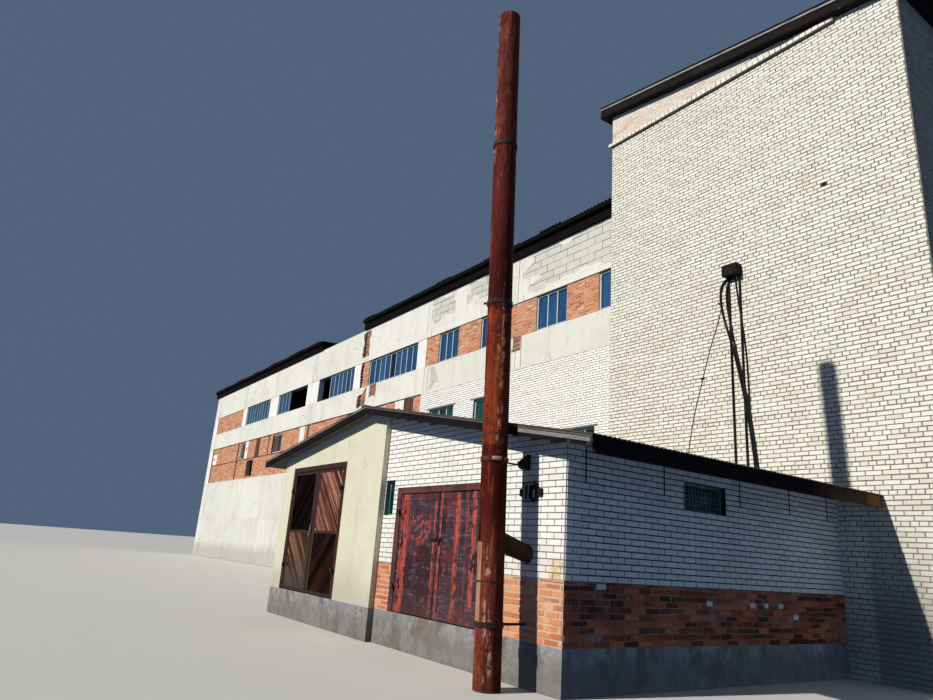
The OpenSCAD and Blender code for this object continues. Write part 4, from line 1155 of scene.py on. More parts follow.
# %% Bricks of the garage
garage_wall_low, garage_wall_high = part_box("brick_wall_beside_door")
garage_frames = solids_of("garage_window_frames")
plinth_low, plinth_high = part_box("garage_plinth")
garage_top_left = garage_wall_high.z
side_wall_low, side_wall_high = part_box("garage_side_wall")
garage_fall = 0.185


def garage_front_top(a):
    """Height of the brick front under the roof, a along it from the plaster."""
    return garage_top_left - garage_fall * a


front_wall = wall_of(garage_wall_low, garage_wall_high, "front")
door_holes = holes_on(front_wall, [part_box("red_door_frame")])
window_holes = holes_on(front_wall, [garage_frames[0]])
rects = courses(front_wall["length"], plinth_high.z, garage_top_left, GARAGE_BOND)
rects = without(rects, door_holes + window_holes)
lay("garage_bricks_front", front_wall, rects, *NEAT, GARAGE_BRICK,
    "range_brick", 60, garage_front_top)

garage_side = wall_of(Vector((side_wall_low.x, garage_wall_low.y, 0)), side_wall_high, "right")
side_holes = holes_on(garage_side, [garage_frames[1]])
side_bond = dict(GARAGE_BOND, joint=0.0068)
rects = courses(garage_side["length"], plinth_high.z, side_wall_high.z, side_bond, first=1)
rects = without(rects, side_holes)
lay("garage_bricks_side", garage_side, rects, *NEAT, SIDE_BRICK, "range_brick", 61)

rects = courses(front_wall["length"], plinth_low.z, plinth_high.z, GARAGE_BOND, first=1)
rects = worn(without(rects, door_holes), 12, 0.006, 0.01)
lay("garage_plinth_front", front_wall, rects, *PLINTH, PLINTH_FRONT, "red_brick",
    62, lift=(63, 0.9))

ODD_HALF, ODD_LOW, ODD_HIGH = 0.029, 0.013, 0.018
odd_places = [(0.29, 0.571, 1.3), (1.28, 0.497, 1), (1.756, 0.497, 1), (1.915, 0.497, 0.8),
    (2.095, 0.497, 0.9), (2.28, 0.424, 1)]
white = [(a - ODD_HALF * w, a + ODD_HALF * w, c - ODD_LOW, c + ODD_HIGH) for a, c, w in odd_places]
plinth_bond = dict(GARAGE_BOND, joint=0.0036)
rects = courses(garage_side["length"], plinth_low.z, plinth_high.z, plinth_bond)
red = worn(without(rects, white, 0.012), 13, 0.006, 0.02)
lay("garage_plinth_side", garage_side, red, *PLINTH, PLINTH_BRICK, "red_brick", 64, lift=(65, 0.9))
lay("garage_plinth_white", garage_side, white, *PLINTH, SIDE_BRICK, "range_brick", 66)

# %% [markdown]
# ## Render panels
# The bands of the range are bay-long panels with open joints, and a narrow strip
# covers each post. A panel is a thin plate with softened edges, so that the joint
# between two of them is a real groove. Where the render has fallen off, the panel is
# cut away and the grey blockwork or red brick behind it is laid instead.

# %% Panels of the range
bay = 2.92
last_line = -2.07
post_strip = 0.15
panel_joint = 0.010
roof_fall = 0.09


def panel_rects(wall, low_z, high_z, first_joint):
    """Panels and post strips between the joints, cut off at the wall's ends."""
    rects = []
    count = math.ceil(wall["length"] / bay) + 2
    start = first_joint % bay - bay
    for i in range(count):
        joint = start + i * bay
        for a0, a1 in ((joint, joint + post_strip), (joint + post_strip, joint + bay)):
            a0 = max(0.0, a0 + panel_joint / 2)
            a1 = min(wall["length"], a1 - panel_joint / 2)
            if a1 - a0 > 0.03:
                rects.append((a0, a1, low_z + panel_joint / 2, high_z - panel_joint / 2))
    return rects


def panels(name, wall, high_z, first_joint, seed, patches=()):
    """A band of panels up to a height, without the patches where the render is gone."""
    rects = without(panel_rects(wall, wall["low"], high_z, first_joint), patches)
    lay(name, wall, rects, *PANEL, WALL_RENDER, "pale_render", seed)


def on_wall(wall, x0, x1, z0, z1):
    """A rectangle given by its X and Z on a front wall, as a place along the wall."""
    return (x0 - wall["corner"].x, x1 - wall["corner"].x, z0, z1)


parapet = wall_of(*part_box("range_parapet"), "front")
spandrel = wall_of(*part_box("range_spandrel"), "front")
parapet_top = 5.715
block_patches = [on_wall(parapet, -4.88, -2.30, 4.99, 5.69),
    on_wall(parapet, -7.80, -6.95, 5.06, 5.69), on_wall(parapet, -6.55, -5.30, 5.28, 5.69)]
brick_patches_high = [on_wall(parapet, -10.90, -10.52, 5.02, 5.66)]
brick_patches_low = [on_wall(spandrel, -10.90, -10.46, 3.74, 4.26),
    on_wall(spandrel, -5.10, -4.86, 4.02, 4.27), on_wall(spandrel, -10.30, -9.98, 3.98, 4.27)]

panels("panels_parapet", parapet, parapet_top, last_line - parapet["corner"].x, 80,
    block_patches + brick_patches_high)
cells = flaked(block_patches, 0.05, 0.86, 3) + flaked(brick_patches_high, 0.03, 0.90, 4)
lay("parapet_broken_rims", parapet, cells, PANEL[0], 0, WALL_RENDER, "pale_render")

panels("panels_spandrel", spandrel, spandrel["high"], last_line - spandrel["corner"].x, 81,
    brick_patches_low)
cells = flaked(brick_patches_low, 0.03, 0.95, 5)
lay("spandrel_broken_rims", spandrel, cells, PANEL[0], 0, WALL_RENDER, "pale_render")

base = wall_of(*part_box("range_base_wall"), "front")
rects = panel_rects(base, 0, base["high"], last_line - base["corner"].x)
middle = base["high"] / 2
rects = [(a, b, c, d) for a, b, _, _ in rects
    for c, d in ((panel_joint, middle - panel_joint), (middle, base["high"]))]
lay("panels_base", base, rects, *PANEL, WALL_RENDER, "pale_render", 82)

for i, (b_low, b_high) in enumerate(solids_of("range_back_bands")):
    wall = wall_of(b_low, b_high, "back")
    panels(f"panels_back_{i + 1}", wall, wall["high"], 0, 90 + i)

gable = wall_of(*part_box("range_end_wall"), "left")
half = gable["length"] / 2
gable_top = 5.983
storeys = [(0.01, 1.245), (1.255, 2.495), (2.505, 3.71), (3.72, 4.87), (4.88, 5.98)]
rects = [(a + 0.005, a + half - 0.005, c, d) for a in (0, half) for c, d in storeys]
lay("panels_gable", gable, rects, *PANEL, WALL_RENDER, "pale_render",
    95, lambda a: gable_top - roof_fall * abs(half - a))

# %% Blockwork and brick behind the fallen render
def ragged_gap(wall, x, z0, z1, width, seed):
    """A slot with torn sides that runs up a front wall, as rects; laid near-black, it is painted
    shadow in a crack.
    """
    chance = random.Random(seed)
    rects = []
    while z0 < z1:
        step = chance.uniform(0.015, 0.05)
        place = x + 0.03 * noise.noise(Vector((z0 * 4, x, seed)))
        half = width * (0.25 + 0.5 * chance.random())
        rects.append(on_wall(wall, place - half, place + half, z0, min(z1, z0 + step)))
        z0 += step
    return rects


gap_high = ragged_gap(parapet, -10.775, 5.02, 5.66, 0.10, 112)
gap_low = ragged_gap(spandrel, -10.775, 3.74, 4.26, 0.11, 113)
pier_face = wall_of(*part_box("range_piers"), "front")
gap_pier = ragged_gap(pier_face, -10.795, 4.285, 4.875, 0.09, 114)
# Near-black plates on the pier's face: painted shadow of the crack beside it.
lay("gap_shadow_beside_pier", pier_face, gap_pier, 0.0008, 0, PAINTED_SHADOW, "concrete")


def behind(name, wall, patches, bond, depth, most, lost, material, slot, seed, gap=()):
    """A dark backing in each patch, painted shade in its joints, and the masonry that stands in
    front of it; a gap gets near-black plates of painted shadow.
    """
    lay(f"{name}_joints", wall, patches, 0.0008, 0, JOINT_SHADOW, "concrete")
    if gap:
        lay(f"{name}_gap", wall, gap, 0.0014, 0, PAINTED_SHADOW, "concrete")
    rects = []
    for n, patch in enumerate(patches):
        rows = courses(patch[1] - patch[0], patch[2], patch[3], bond, first=n)
        rects += [(a + patch[0], b + patch[0], c, d) for a, b, c, d in rows]
    rects = without(worn(rects, seed, most, lost), gap, 0.004)
    lay(name, wall, rects, depth, 0.0015, material, slot, seed + 1, lift=(seed + 2, 0.6))


behind("parapet_blocks", parapet, block_patches, BLOCK_BOND, 0.006, 0.006, 0.0, BLOCKWORK,
    "concrete", 100)
behind("parapet_bricks", parapet, brick_patches_high, RED_BOND, 0.009, 0.012, 0.30,
    INFILL_BRICK, "infill_brick", 104, gap_high)
behind("spandrel_bricks", spandrel, brick_patches_low, RED_BOND, 0.009, 0.012, 0.22,
    INFILL_BRICK, "infill_brick", 107, gap_low)

# %% Ragged lower edge of the render, and the shadow under it over the red brick
edge_chance = random.Random(110)


def torn_edge(wall, x0, x1, widths, wave, row, least, lap):
    """Narrow rects that hang from the render's lower edge, each as deep as chance has it."""
    rects = []
    a, a_end = on_wall(wall, x0, x1, 0, 0)[:2]
    while a < a_end:
        width = edge_chance.uniform(*widths)
        wander = 0.5 + 0.5 * noise.noise(Vector((a * wave, row, 7)))
        drop = least + 0.034 * wander * edge_chance.random()
        rects.append((a, min(a_end, a + width), spandrel["low"] - drop, spandrel["low"] + lap))
        a += width
    return rects


skirt = torn_edge(spandrel, -7.95, -1.72, (0.015, 0.06), 1.7, 0, 0.004, 0.006)
lay("render_skirt", spandrel, skirt, 0.0075, 0, WALL_RENDER, "pale_render")
torn = torn_edge(lower_wall, -22.4, -8.03, (0.02, 0.09), 1.3, 3, 0.006, -0.001)
torn = without(torn, holes_on(lower_wall, front_frames))
lay("torn_edge_shadow", lower_wall, torn, 0.0072, 0, PAINTED_SHADOW, "concrete")

grime = [on_wall(spandrel, -7.74, -7.38, 3.86, 4.26), on_wall(spandrel, -7.74, -7.52, 3.74, 3.90)]
cells = flaked(grime, 0.018, 0.46, 8, middle=True)
lay("spandrel_grime", spandrel, cells, 0.0066, 0, GRIMY_RENDER, "pale_render")

# %% [markdown]
# ## Odds and ends in the red strip
# Half-way up the lower strip runs a thin dark ledge, posts stand at some bay lines,
# two stretches are boarded up and a few are daubed with whitewash. All but the daubs
# are slim boxes set a little into the brickwork.

# %% Ledge, posts, boards and daubs
strip_face = lower_wall["corner"].y
ledge_z = 3.105
ledge = [(-22.46, -14.2, strip_face - 0.012, strip_face + 0.01, ledge_z, ledge_z + 0.022)]
posts = [(x, x + w, strip_face - 0.010, strip_face + 0.01, z, 3.70) for x, w, z in
    ((-22.47, 0.06, 2.51), (-19.60, 0.11, 2.51), (-16.68, 0.07, 3.12), (-13.74, 0.10, 2.51),
    (-16.32, 0.035, 3.12), (-18.84, 0.03, 3.12))]
boxes("strip_ledge_and_posts", ledge + posts, WOOD_BLOCKING, "dark_timber", soften=0.003)

boarded = [(-17.78, -17.44, 3.13, 3.69), (-8.63, -8.27, 2.95, 3.69)]
spans, tones = [], []
chance = random.Random(111)
for x0, x1, z0, z1 in boarded:
    for board in side_by_side(x0, x1, 5):
        board_face = strip_face - 0.012 - 0.004 * chance.random()
        spans.append((*board, board_face, strip_face, z0, z1))
        tones.append(chance.random())
boxes("strip_boards", spans, WOOD_BLOCKING, "planks", tones, soften=0.0015)

daubs = [on_wall(lower_wall, x0, x1, z0, z1) for x0, x1, z0, z1 in
    ((-18.80, -18.52, 3.14, 3.70), (-9.02, -8.65, 3.0, 3.70), (-14.25, -13.92, 2.52, 3.70),
    (-22.38, -21.9, 3.14, 3.5))]
cells = flaked(daubs, 0.035, 0.1, 6)
lay("strip_daubs", lower_wall, cells, 0.0072, 0, WHITEWASH, "pale_render")

# %% [markdown]
# ## Window bars and panes
# A steel strip window is a row of upright bars with narrow panes between them. The
# CAD model gives the outer frames and plain sheets of glass. The glass is replaced by
# separate panes, each with its own tone, and the bars stand between them. Boxes are
# enough for bars of this size, so one box is modelled and copied.


# %% Bars and panes of the range
FRAME_WIDTH, BAR_WIDTH, PANE_THICK = 0.028, 0.022, 0.004
pane_width = 0.24


def within(frame_box, border):
    """The corners of a window's opening, inside the border of its frame."""
    edge = Vector((border, border, border))
    return frame_box[0] + edge, frame_box[1] - edge


def glaze(name, frames_given, seed, dark_share, paint, pane_glass):
    """Bars and panes for a row of windows, some panes dark; gives back the panes."""
    chance = random.Random(seed)
    bars, panes, tones = [], [], []
    for b_low, b_high in frames_given:
        inner_low, inner_high = within((b_low, b_high), FRAME_WIDTH)
        z0, z1 = inner_low.z, inner_high.z
        count = max(2, round((inner_high.x - inner_low.x) / pane_width))
        lights = side_by_side(inner_low.x, inner_high.x, count, BAR_WIDTH / 2)
        for left, right in zip(lights, lights[1:]):
            bars.append((left[1], right[0], b_low.y + 0.006, b_high.y - 0.006, z0, z1))
        for light in lights:
            middle = (b_low.y + b_high.y) / 2 + 0.004 * chance.random()
            panes.append((*light, middle - PANE_THICK / 2, middle + PANE_THICK / 2, z0, z1))
            dark = chance.random() < dark_share
            tones.append(0.0 if dark else 0.55 + 0.45 * chance.random())
    boxes(f"window_bars_{name}", bars, paint, "frame_paint")
    return boxes(f"window_panes_{name}", panes, pane_glass, "glass", tones)


UPPER_STOREY_Z, RED_BRICK_END_X = 4, -9
lower_frames = [b for b in front_frames if b[0].z < UPPER_STOREY_Z]
upper_frames = [b for b in front_frames if b[0].z > UPPER_STOREY_Z]
red_frames = [b for b in lower_frames if b[1].x < RED_BRICK_END_X]
white_frames = [b for b in lower_frames if b[1].x > RED_BRICK_END_X]
glass = glaze("upper", upper_frames, 11, 0.06, TEAL_PAINT, BLUE_GLASS)
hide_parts("window_glass")
glaze("white_wall", white_frames, 12, 0.1, PALE_PAINT, GREEN_GLASS)
glaze("rear", rear_frames, 13, 0.12, TEAL_PAINT, BLUE_GLASS)

# %% [markdown]
# ## Boards in the windows of the red brick
# The two windows left in the lower strip are half boarded over: rough upright boards
# cover one side of each, and a dark pane is left beside them.

# %% Boarded windows
board_width = 0.09
boarded_share = 0.55
spans, tones, dark_panes = [], [], []
chance = random.Random(14)
for b_low, b_high in red_frames:
    inner_low, inner_high = within((b_low, b_high), FRAME_WIDTH)
    x0, x1, z0, z1 = inner_low.x, inner_high.x, inner_low.z, inner_high.z
    boarded_to = x0 + (x1 - x0) * boarded_share
    middle = (b_low.y + b_high.y) / 2
    for board in side_by_side(x0, boarded_to, round((boarded_to - x0) / board_width)):
        board_back = middle + 0.003 + 0.004 * chance.random()
        spans.append((*board, middle - 0.012, board_back, z0, z1))
        tones.append(chance.random())
    dark_panes.append((boarded_to, x1, middle - PANE_THICK / 2, middle + PANE_THICK / 2, z0, z1))
boxes("window_boards_lower", spans, WOOD_BLOCKING, "planks", tones)
boxes("window_panes_lower", dark_panes, BLUE_GLASS, "glass", [0.45] * len(dark_panes))

# %% Panes of the garage windows
SMALL_FRAME = 0.014
front_low, front_high = within(garage_frames[0], SMALL_FRAME)
pane_low, pane_high = within(garage_frames[1], SMALL_FRAME)
front_middle = (front_low.y + front_high.y) / 2
side_middle = (pane_low.x + pane_high.x) / 2
garage_panes = [
    (front_low.x, front_high.x, front_middle - PANE_THICK / 2, front_middle + PANE_THICK / 2,
        front_low.z, front_high.z),
    (side_middle - PANE_THICK / 2, side_middle + PANE_THICK / 2, pane_low.y, pane_high.y,
        pane_low.z, pane_high.z),
]
boxes("garage_panes", garage_panes, GREEN_GLASS, "glass", [0.8, 0.0])

# %% Lintels over the windows of the white brick
spans = [(b[0].x - 0.09, b[1].x + 0.06, white_wall["corner"].y - 0.010,
    white_wall["corner"].y + 0.02, b[1].z, b[1].z + 0.030) for b in white_frames]
boxes("window_lintels", spans, LINTEL_DARK, "concrete", soften=0.003)

# %% [markdown]
# ## Corrugated sheets on the range
# From the ground only their ragged edge shows, but from above they are the whole
# roof. One sheet is modelled as a grid pushed into waves and given a thickness, then
# laid in rows that lap over each other, with the lowest row a little out of line. The
# sheets above the broken stretch of the eave are missing.

# %% One corrugated sheet
WAVE_PITCH, WAVE_RISE, SHEET_THICK = 0.075, 0.026, 0.003
WAVES_PER_SHEET, STEPS_PER_WAVE = 7, 6
sheet_width = WAVES_PER_SHEET * WAVE_PITCH
sheet_length = 0.86


def model_sheet():
    """A corrugated sheet, its waves across X and its length along Y, lower edge at 0."""
    bpy.ops.mesh.primitive_grid_add(x_subdivisions=WAVES_PER_SHEET * STEPS_PER_WAVE,
        y_subdivisions=1, size=1, location=(0, 0, 0))
    sheet = bpy.context.object
    for vertex in sheet.data.vertices:
        x, y = (vertex.co.x + 0.5) * sheet_width, (vertex.co.y + 0.5) * sheet_length
        vertex.co = (x, y, WAVE_RISE / 2 * (1 - math.cos(2 * math.pi * x / WAVE_PITCH)))
    modify(sheet, "SOLIDIFY", thickness=SHEET_THICK, offset=1)
    return take_shape(sheet)


SHEET_CORNERS, SHEET_FACES = model_sheet()

# %% Sheets laid over both slopes
roof_low, roof_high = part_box("range_roof_sheets")
ridge_y = (roof_low.y + roof_high.y) / 2
edge_top = roof_high.z - roof_fall * (ridge_y - roof_low.y)
bare_low, bare_high = (Vector(v) for v in openings["broken_roof_edge"])


def roof_slope(name, to_front, seed):
    """Rows of sheets from the eave up to the ridge, on the front or the back slope."""
    chance = random.Random(seed)
    columns = math.floor((roof_high.x - roof_low.x) / sheet_width)
    width = (roof_high.x - roof_low.x) / columns
    run = ridge_y - roof_low.y
    rows = math.ceil(run / (sheet_length - 0.08))
    step = (run - sheet_length) / (rows - 1)
    places, tones = [], []
    for row in range(rows):
        for column in range(columns):
            x0 = roof_low.x + column * width
            if to_front and x0 + width > bare_low.x and x0 < bare_high.x:
                continue
            slip = chance.uniform(0, 0.05) if row == 0 else 0
            y0 = row * step + slip
            corners = SHEET_CORNERS * (width / sheet_width, 1, 1)
            rise = roof_fall * (corners[:, 1] + y0)
            lift = 0.010 + 0.004 * (rows - 1 - row) / rows + 0.003 * (corners[:, 1] < 0.1)
            z = edge_top + rise + corners[:, 2] + lift
            y = roof_low.y + y0 + corners[:, 1]
            if not to_front:
                y = 2 * ridge_y - y
            x = np.clip(x0 + corners[:, 0], roof_low.x, roof_high.x)
            places.append(np.stack([x, y, z], axis=1))
            tones.append(chance.random())
    faces = SHEET_FACES if to_front else SHEET_FACES[:, ::-1]
    return copies(name, np.array(places), faces, tones, SHEET_ROOFING)


roof_slope("range_sheets_front", True, 21)
roof_slope("range_sheets_back", False, 22)

# %% [markdown]
# ## Roof edges
# The garage roof ends in blackened boards. A thin rim of folded sheet shows along
# their top, and narrow boards close the underside of the overhang. They follow the
# two slopes of the roof, whose ridge is read from the roof's own mesh. The block's
# roof has two dark battens with a pale strip between them along its front edge, and
# strips of felt on top.

# %% Rims and soffits of the garage's roof
peak = max((v.co for v in nodes["garage_roof"].data.vertices), key=lambda c: c.z).copy()
boards_low, boards_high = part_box("roof_edge_boards")
roof_slab_low, roof_slab_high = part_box("garage_roof")
slab_thick = 0.049
left_rise, right_rise = 0.14, -0.185
verge = boards_low.y
rim = (verge - 0.006, verge + 0.004, peak.z - 0.012, peak.z + 0.004)
boxes("verge_rim_left", [(boards_low.x, peak.x, *rim)], RIM_TIMBER, "dark_timber", [0.9],
    soften=0.0015, slope=(peak.x, left_rise))
pale_board = (0.54, 1.15, verge - 0.007, verge + 0.004, peak.z - 0.040, peak.z - 0.016)
boxes("verge_rim_right", [(peak.x, boards_high.x, *rim), pale_board], RIM_TIMBER,
    "dark_timber", [0.0, 0.45], soften=0.0015, slope=(peak.x, right_rise))

under = peak.z - slab_thick
front_boards = [(verge + 0.025 + i * 0.027, verge + 0.050 + i * 0.027) for i in range(3)]
side_x = side_wall_high.x
left_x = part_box("garage_far_walls")[0].x


def soffit(name, x0, x1, rise, eave_from, eave_to, seed):
    """Boards under one slope: three along the verge and four along the eave."""
    chance = random.Random(seed)
    thick = (under - 0.006, under - 0.0005)
    spans = [(x0, x1, *board, *thick) for board in front_boards]
    back_y = roof_slab_high.y - 0.002
    for board in side_by_side(eave_from, eave_to, 4):
        spans.append((*board, front_boards[-1][1] + 0.003, back_y, *thick))
    tones = [chance.random() for _ in spans]
    boxes(name, spans, SOFFIT_TIMBER, "dark_timber", tones, slope=(peak.x, rise))


soffit("soffit_left", roof_slab_low.x + 0.004, peak.x, left_rise, roof_slab_low.x + 0.004,
    left_x - 0.004, 120)
soffit("soffit_right", peak.x, roof_slab_high.x - 0.004, right_rise, side_x + 0.010,
    roof_slab_high.x - 0.004, 121)

# %% Edge and felt of the block's roof
top_low, top_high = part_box("block_roof")
top_thick = 0.165
top_slope = (top_low.x, -block_fall)
under_top = top_high.z - top_thick
battens = [(0.000, 0.022, 0.010), (0.112, 0.136, 0.012), (0.146, 0.160, 0.015)]
spans = [(top_low.x, top_high.x, top_low.y - proud, top_low.y + 0.004, under_top + z0,
    under_top + z1) for z0, z1, proud in battens]
boxes("block_roof_battens", spans[::2], EAVE_TIMBER, "dark_timber", [0.0, 0.5], soften=0.002,
    slope=top_slope)
boxes("block_roof_strip", spans[1:2], RIM_TIMBER, "dark_timber", [0.8], soften=0.002,
    slope=top_slope)
felt_width = 0.49
count = math.ceil((top_high.y - top_low.y) / felt_width)
spans, tones = [], []
chance = random.Random(122)
for i in range(count):
    y0 = top_low.y + i * felt_width
    y1 = min(top_high.y, y0 + felt_width + 0.03)
    spans.append((top_low.x + 0.05, top_high.x - 0.01, y0, y1, top_high.z - 0.004,
        top_high.z + 0.002 + 0.002 * (i % 2)))
    tones.append(chance.random())
boxes("block_roof_felt", spans, FELT_ROOFING, "roofing", tones, slope=top_slope)

# %% [markdown]
# ## Cables on the block
# A bundle of old cables comes out under the iron box on the block and runs down the
# wall to the garage roof, held by small clips. A cable is easiest to draw as a curve
# through a few points with a round section, which is then made a mesh.

# %% Cables from the iron box
cable_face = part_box("block_front_wall")[0].y


def cable(name, points, radius, material):
    """A round cable through points of the wall given as (x, z), as a mesh."""
    curve = bpy.data.curves.new(name, "CURVE")
    curve.dimensions = "3D"
    curve.bevel_depth = radius
    curve.bevel_resolution = 2
    curve.resolution_u = 4
    curve.use_fill_caps = True
    spline = curve.splines.new("NURBS")
    spline.points.add(len(points) - 1)
    for i, (x, z) in enumerate(points):
        spline.points[i].co = (x, cable_face - radius - 0.006, z, 1)
    spline.use_endpoint_u = True
    spline.order_u = 4
    piece = bpy.data.objects.new(name, curve)
    bpy.context.collection.objects.link(piece)
    pick(piece)
    bpy.ops.object.convert(target="MESH")
    piece = bpy.context.object
    bpy.ops.object.shade_smooth()
    return finish_piece(piece, material)


loop = [(-0.060, 3.545), (-0.110, 3.535), (-0.160, 3.500), (-0.193, 3.416), (-0.188, 3.242),
    (-0.139, 3.040), (-0.080, 2.841), (-0.026, 2.588), (0.025, 2.325), (0.072, 2.014),
    (0.113, 1.590)]
cable("cable_loop_outer", loop, 0.010, BLACK_STEEL)
inner = [(x * 0.72 + 0.016, z - 0.012) for x, z in loop[:6]]
inner += [(x + 0.024, z) for x, z in loop[6:]]
cable("cable_loop_inner", inner, 0.009, BLACK_STEEL)
cable("cable_right", [(-0.020, 3.540), (0.006, 3.276), (0.050, 2.955), (0.074, 2.630),
    (0.075, 2.318), (0.080, 2.014), (0.100, 1.600)], 0.007, BLACK_STEEL)
cable("cable_left", [(-0.180, 3.300), (-0.205, 3.158), (-0.291, 2.969), (-0.382, 2.714),
    (-0.475, 2.398), (-0.566, 2.143), (-0.640, 1.720)], 0.003, BLACK_STEEL)
clip_places = [(-0.195, 3.300), (-0.062, 2.770), (0.045, 2.200), (0.095, 1.800), (-0.430, 2.555)]
spans = [(x - 0.022, x + 0.022, cable_face - 0.018, cable_face, z - 0.006, z + 0.006)
    for x, z in clip_places]
boxes("cable_clips", spans, DARK_RUST, "rusty_steel", soften=0.002)

# %% [markdown]
# ## Doors of diagonal boards
# Each leaf of the brown doors has two fields of boards that meet in a diamond. A
# field starts as one board, arrayed into a row, turned by 45 degrees and cut to the
# field's four sides with bisect, which is how a joiner would trim them too. Every
# board carries its own tone.


# %% A field of diagonal boards
def board_field(name, x0, x1, z0, z1, y_front, thick, lean, width, material, body, seed):
    """Boards at 45 degrees in a rectangle; lean is 1 for boards that rise to the right."""
    middle = Vector(((x0 + x1) / 2, y_front + thick / 2, (z0 + z1) / 2))
    reach = (x1 - x0) + (z1 - z0)
    count = math.ceil(reach / width)
    bpy.ops.mesh.primitive_cube_add(size=1, location=middle)
    piece = bpy.context.object
    piece.name = name
    piece.scale = (width - BOARD_GAP, thick, reach)
    bpy.ops.object.transform_apply(location=False, rotation=False, scale=True)
    modify(piece, "BEVEL", width=0.002, segments=1)
    modify(piece, "ARRAY", count=count, use_relative_offset=False, use_constant_offset=True,
        constant_offset_displace=(width, 0, 0))
    chance = random.Random(seed)
    board_tones = [chance.random() for _ in range(count)]
    board_steps = [0.002 * chance.random() for _ in range(count)]
    tone = piece.data.attributes.new("tone", "FLOAT", "POINT")
    for i, vertex in enumerate(piece.data.vertices):
        board = min(count - 1, max(0, int((vertex.co.x + width / 2) / width)))
        tone.data[i].value = board_tones[board]
        vertex.co.y += board_steps[board]
    half_row = Vector((-(count - 1) * width / 2, 0, 0))
    piece.data.transform(Matrix.Translation(half_row))
    piece.data.transform(Matrix.Rotation(lean * SLOPE, 4, "Y"))
    bpy.ops.object.transform_apply(location=True, rotation=False, scale=False)
    cuts = [((x0, 0, 0), (-1, 0, 0)), ((x1, 0, 0), (1, 0, 0)),
        ((0, 0, z0), (0, 0, -1)), ((0, 0, z1), (0, 0, 1))]
    for point, normal in cuts:
        bpy.ops.object.mode_set(mode="EDIT")
        bpy.ops.mesh.select_all(action="SELECT")
        bpy.ops.mesh.bisect(plane_co=point, plane_no=normal, use_fill=True, clear_outer=True)
        bpy.ops.object.mode_set(mode="OBJECT")
    print(name, count, "boards")
    return finish_piece(piece, material, body)


PLANK_THICK, PLANK_PROUD = 0.025, 0.008
PLANK_RAIL, PLANK_STILE, PLANK_MIDDLE = 0.024, 0.056, 0.535
EYE_REACH = 0.014
BOARD_THICK, BOARD_WIDTH, BOARD_GAP = 0.007, 0.027, 0.007


def plank_leaf_boards(leaf, finishes, leans, seed):
    """The two board fields of a brown leaf: upper first."""
    low_c, high_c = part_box(leaf)
    hinge_left = leaf.endswith("left")
    x0 = low_c.x + EYE_REACH + PLANK_RAIL if hinge_left else low_c.x + PLANK_STILE
    x1 = high_c.x - PLANK_STILE if hinge_left else high_c.x - EYE_REACH - PLANK_RAIL
    front = high_c.y - PLANK_THICK + PLANK_PROUD - BOARD_THICK
    fields = [(low_c.z + PLANK_MIDDLE + PLANK_RAIL, high_c.z - PLANK_RAIL),
        (low_c.z + PLANK_RAIL, low_c.z + PLANK_MIDDLE)]
    # Near-black boxes behind the boards: painted shade in the gaps between them.
    gap_shadows = [(x0, x1, front + 0.004, front + BOARD_THICK, z0, z1) for z0, z1 in fields]
    boxes(f"{leaf}_gaps", gap_shadows, PAINTED_SHADOW, "planks", body=leaf)
    for i, (z0, z1) in enumerate(fields):
        board_field(f"{leaf}_boards_{i + 1}", x0, x1, z0, z1, front, BOARD_THICK, leans[i],
            BOARD_WIDTH, finishes[i], leaf, seed + i)


plank_leaf_boards("plank_door_left", (BLACK_BOARDS, LIGHT_BOARDS), (1, -1), 31)
plank_leaf_boards("plank_door_right", (RED_BOARDS, DARK_BOARDS), (-1, 1), 33)

# %% Latch and stile of the brown doors
leaf_low, leaf_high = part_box("plank_door_left")
leaf_front = leaf_high.y - PLANK_THICK
stile = [(leaf_high.x - 0.052, leaf_high.x - 0.004, leaf_front - 0.001, leaf_front + 0.001,
    leaf_low.z + 0.01, leaf_low.z + PLANK_MIDDLE)]
boxes("plank_door_left_stile", stile, STILE_TIMBER, "planks", body="plank_door_left")
latch_z = 0.80
latch = [(leaf_high.x - 0.034, leaf_high.x - 0.016, leaf_front - 0.012, leaf_front, latch_z - 0.03,
    latch_z + 0.075),
    (leaf_high.x - 0.056, leaf_high.x - 0.004, leaf_front - 0.007, leaf_front, latch_z + 0.02,
    latch_z + 0.04)]
boxes("plank_door_left_latch", latch, LATCH_IRON, "black_steel", body="plank_door_left",
    soften=0.004)

# %% [markdown]
# ## Small ironwork on the garage
# The flue wears a strap that is bare on one side, with a bar back to the wall beside
# the lamp, and two thin seams. The iron box below the lamp has lost its cover, so its
# inner rails show, with a rod between them that ends in a small knob.

# %% Strap, bar and seams of the flue
flue_low, flue_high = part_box("flue_pipe")
flue_lean = -0.038
flue_radius = (flue_high.y - flue_low.y) / 2
flue_foot = Vector((flue_high.x - flue_radius, (flue_low.y + flue_high.y) / 2, 0))


def flue_ring(name, z, height, proud, material):
    """A band round the leaning flue, turned square to its axis."""
    centre = flue_foot + Vector((flue_lean * z, 0, z))
    bpy.ops.mesh.primitive_cylinder_add(vertices=48, radius=flue_radius + proud, depth=height,
        location=(0, 0, 0), end_fill_type="NOTHING")
    ring = bpy.context.object
    ring.name = name
    modify(ring, "SOLIDIFY", thickness=proud + 0.002, offset=-1)
    modify(ring, "BEVEL", width=0.0012, segments=2)
    ring.data.transform(Matrix.Rotation(math.atan(flue_lean), 4, "Y"))
    ring.data.transform(Matrix.Translation(centre))
    bpy.ops.object.shade_smooth_by_angle(angle=math.radians(40))
    return finish_piece(ring, material)


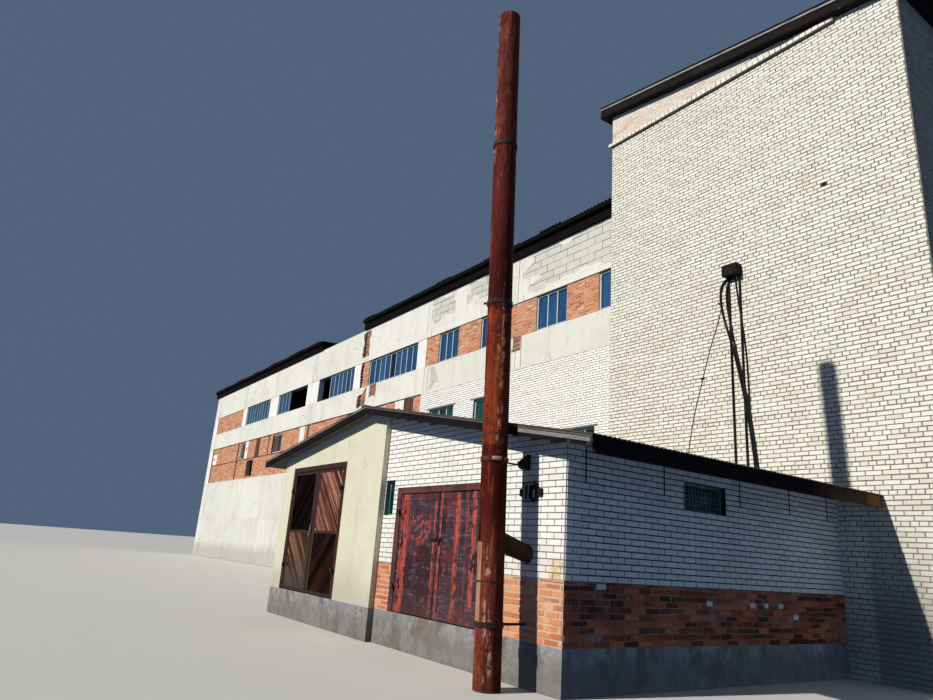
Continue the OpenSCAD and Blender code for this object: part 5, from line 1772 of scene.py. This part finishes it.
flue_ring("flue_strap_pale", 1.251, 0.022, 0.006, STRAP_RUST)
bar_x = flue_foot.x + flue_lean * 1.25 - 0.028
wall_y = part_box("garage_plinth")[0].y
strap_bar = [(bar_x - 0.005, bar_x + 0.005, flue_foot.y + 0.078, wall_y - 0.0005, 1.245, 1.255)]
boxes("flue_strap_bar", strap_bar, BLACK_STEEL, "rusty_steel", soften=0.0015)
for i, z in enumerate((0.560, 1.40)):
    flue_ring(f"flue_seam_{i + 1}", z, 0.010, 0.0015, DARK_RUST)

# %% Rails and rod of the iron box
box_low, box_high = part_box("meter_box")
case_left, case_right = box_low.x + 0.042, box_high.x - 0.042
rails = [(case_left + 0.014, case_left + 0.026, box_low.z + 0.010, box_high.z - 0.006),
    (case_left + 0.014, case_right - 0.016, box_high.z - 0.014, box_high.z - 0.006),
    (case_right - 0.014, case_right - 0.006, box_low.z + 0.022, box_high.z - 0.044),
    (case_left + 0.014, case_right - 0.030, box_low.z + 0.006, box_low.z + 0.012)]
spans = [(x0, x1, box_low.y - 0.006, box_low.y + 0.001, z0, z1) for x0, x1, z0, z1 in rails]
boxes("iron_box_rails", spans, WORN_STEEL, "black_steel", soften=0.001)
rod_x = (case_left + case_right) / 2
bpy.ops.mesh.primitive_cylinder_add(vertices=16, radius=0.0035, depth=0.072,
    location=(rod_x, box_low.y - 0.004, box_high.z - 0.050))
rod = bpy.context.object
rod.name = "iron_box_rod"
bpy.ops.object.transform_apply(location=True)
bpy.ops.object.shade_smooth_by_angle(angle=math.radians(50))
finish_piece(rod, WORN_STEEL)
bpy.ops.mesh.primitive_uv_sphere_add(segments=16, ring_count=10, radius=0.007,
    location=(rod_x, box_low.y - 0.005, box_high.z - 0.089))
knob = bpy.context.object
knob.name = "iron_box_knob"
bpy.ops.object.transform_apply(location=True)
bpy.ops.object.shade_smooth()
finish_piece(knob, WORN_STEEL)

# %% Bars of the garage's side window
bar = 0.004
columns, rows = 12, 5
spans = []
for i in range(1, columns):
    y = pane_low.y + i * (pane_high.y - pane_low.y) / columns
    spans.append((side_middle + 0.003, side_middle + 0.007, y - bar / 2, y + bar / 2, pane_low.z,
        pane_high.z))
for i in range(1, rows):
    z = pane_low.z + i * (pane_high.z - pane_low.z) / rows
    spans.append((side_middle + 0.004, side_middle + 0.008, pane_low.y, pane_high.y, z - bar / 2,
        z + bar / 2))
boxes("side_window_grille", spans, GREEN_PAINT, "green_paint")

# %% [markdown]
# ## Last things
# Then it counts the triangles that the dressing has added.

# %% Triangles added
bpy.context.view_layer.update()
triangles = sum(len(p.vertices) - 2 for o in bpy.data.objects
    if o.type == "MESH" and o.name not in nodes for p in o.data.polygons)
print("triangles added:", triangles)
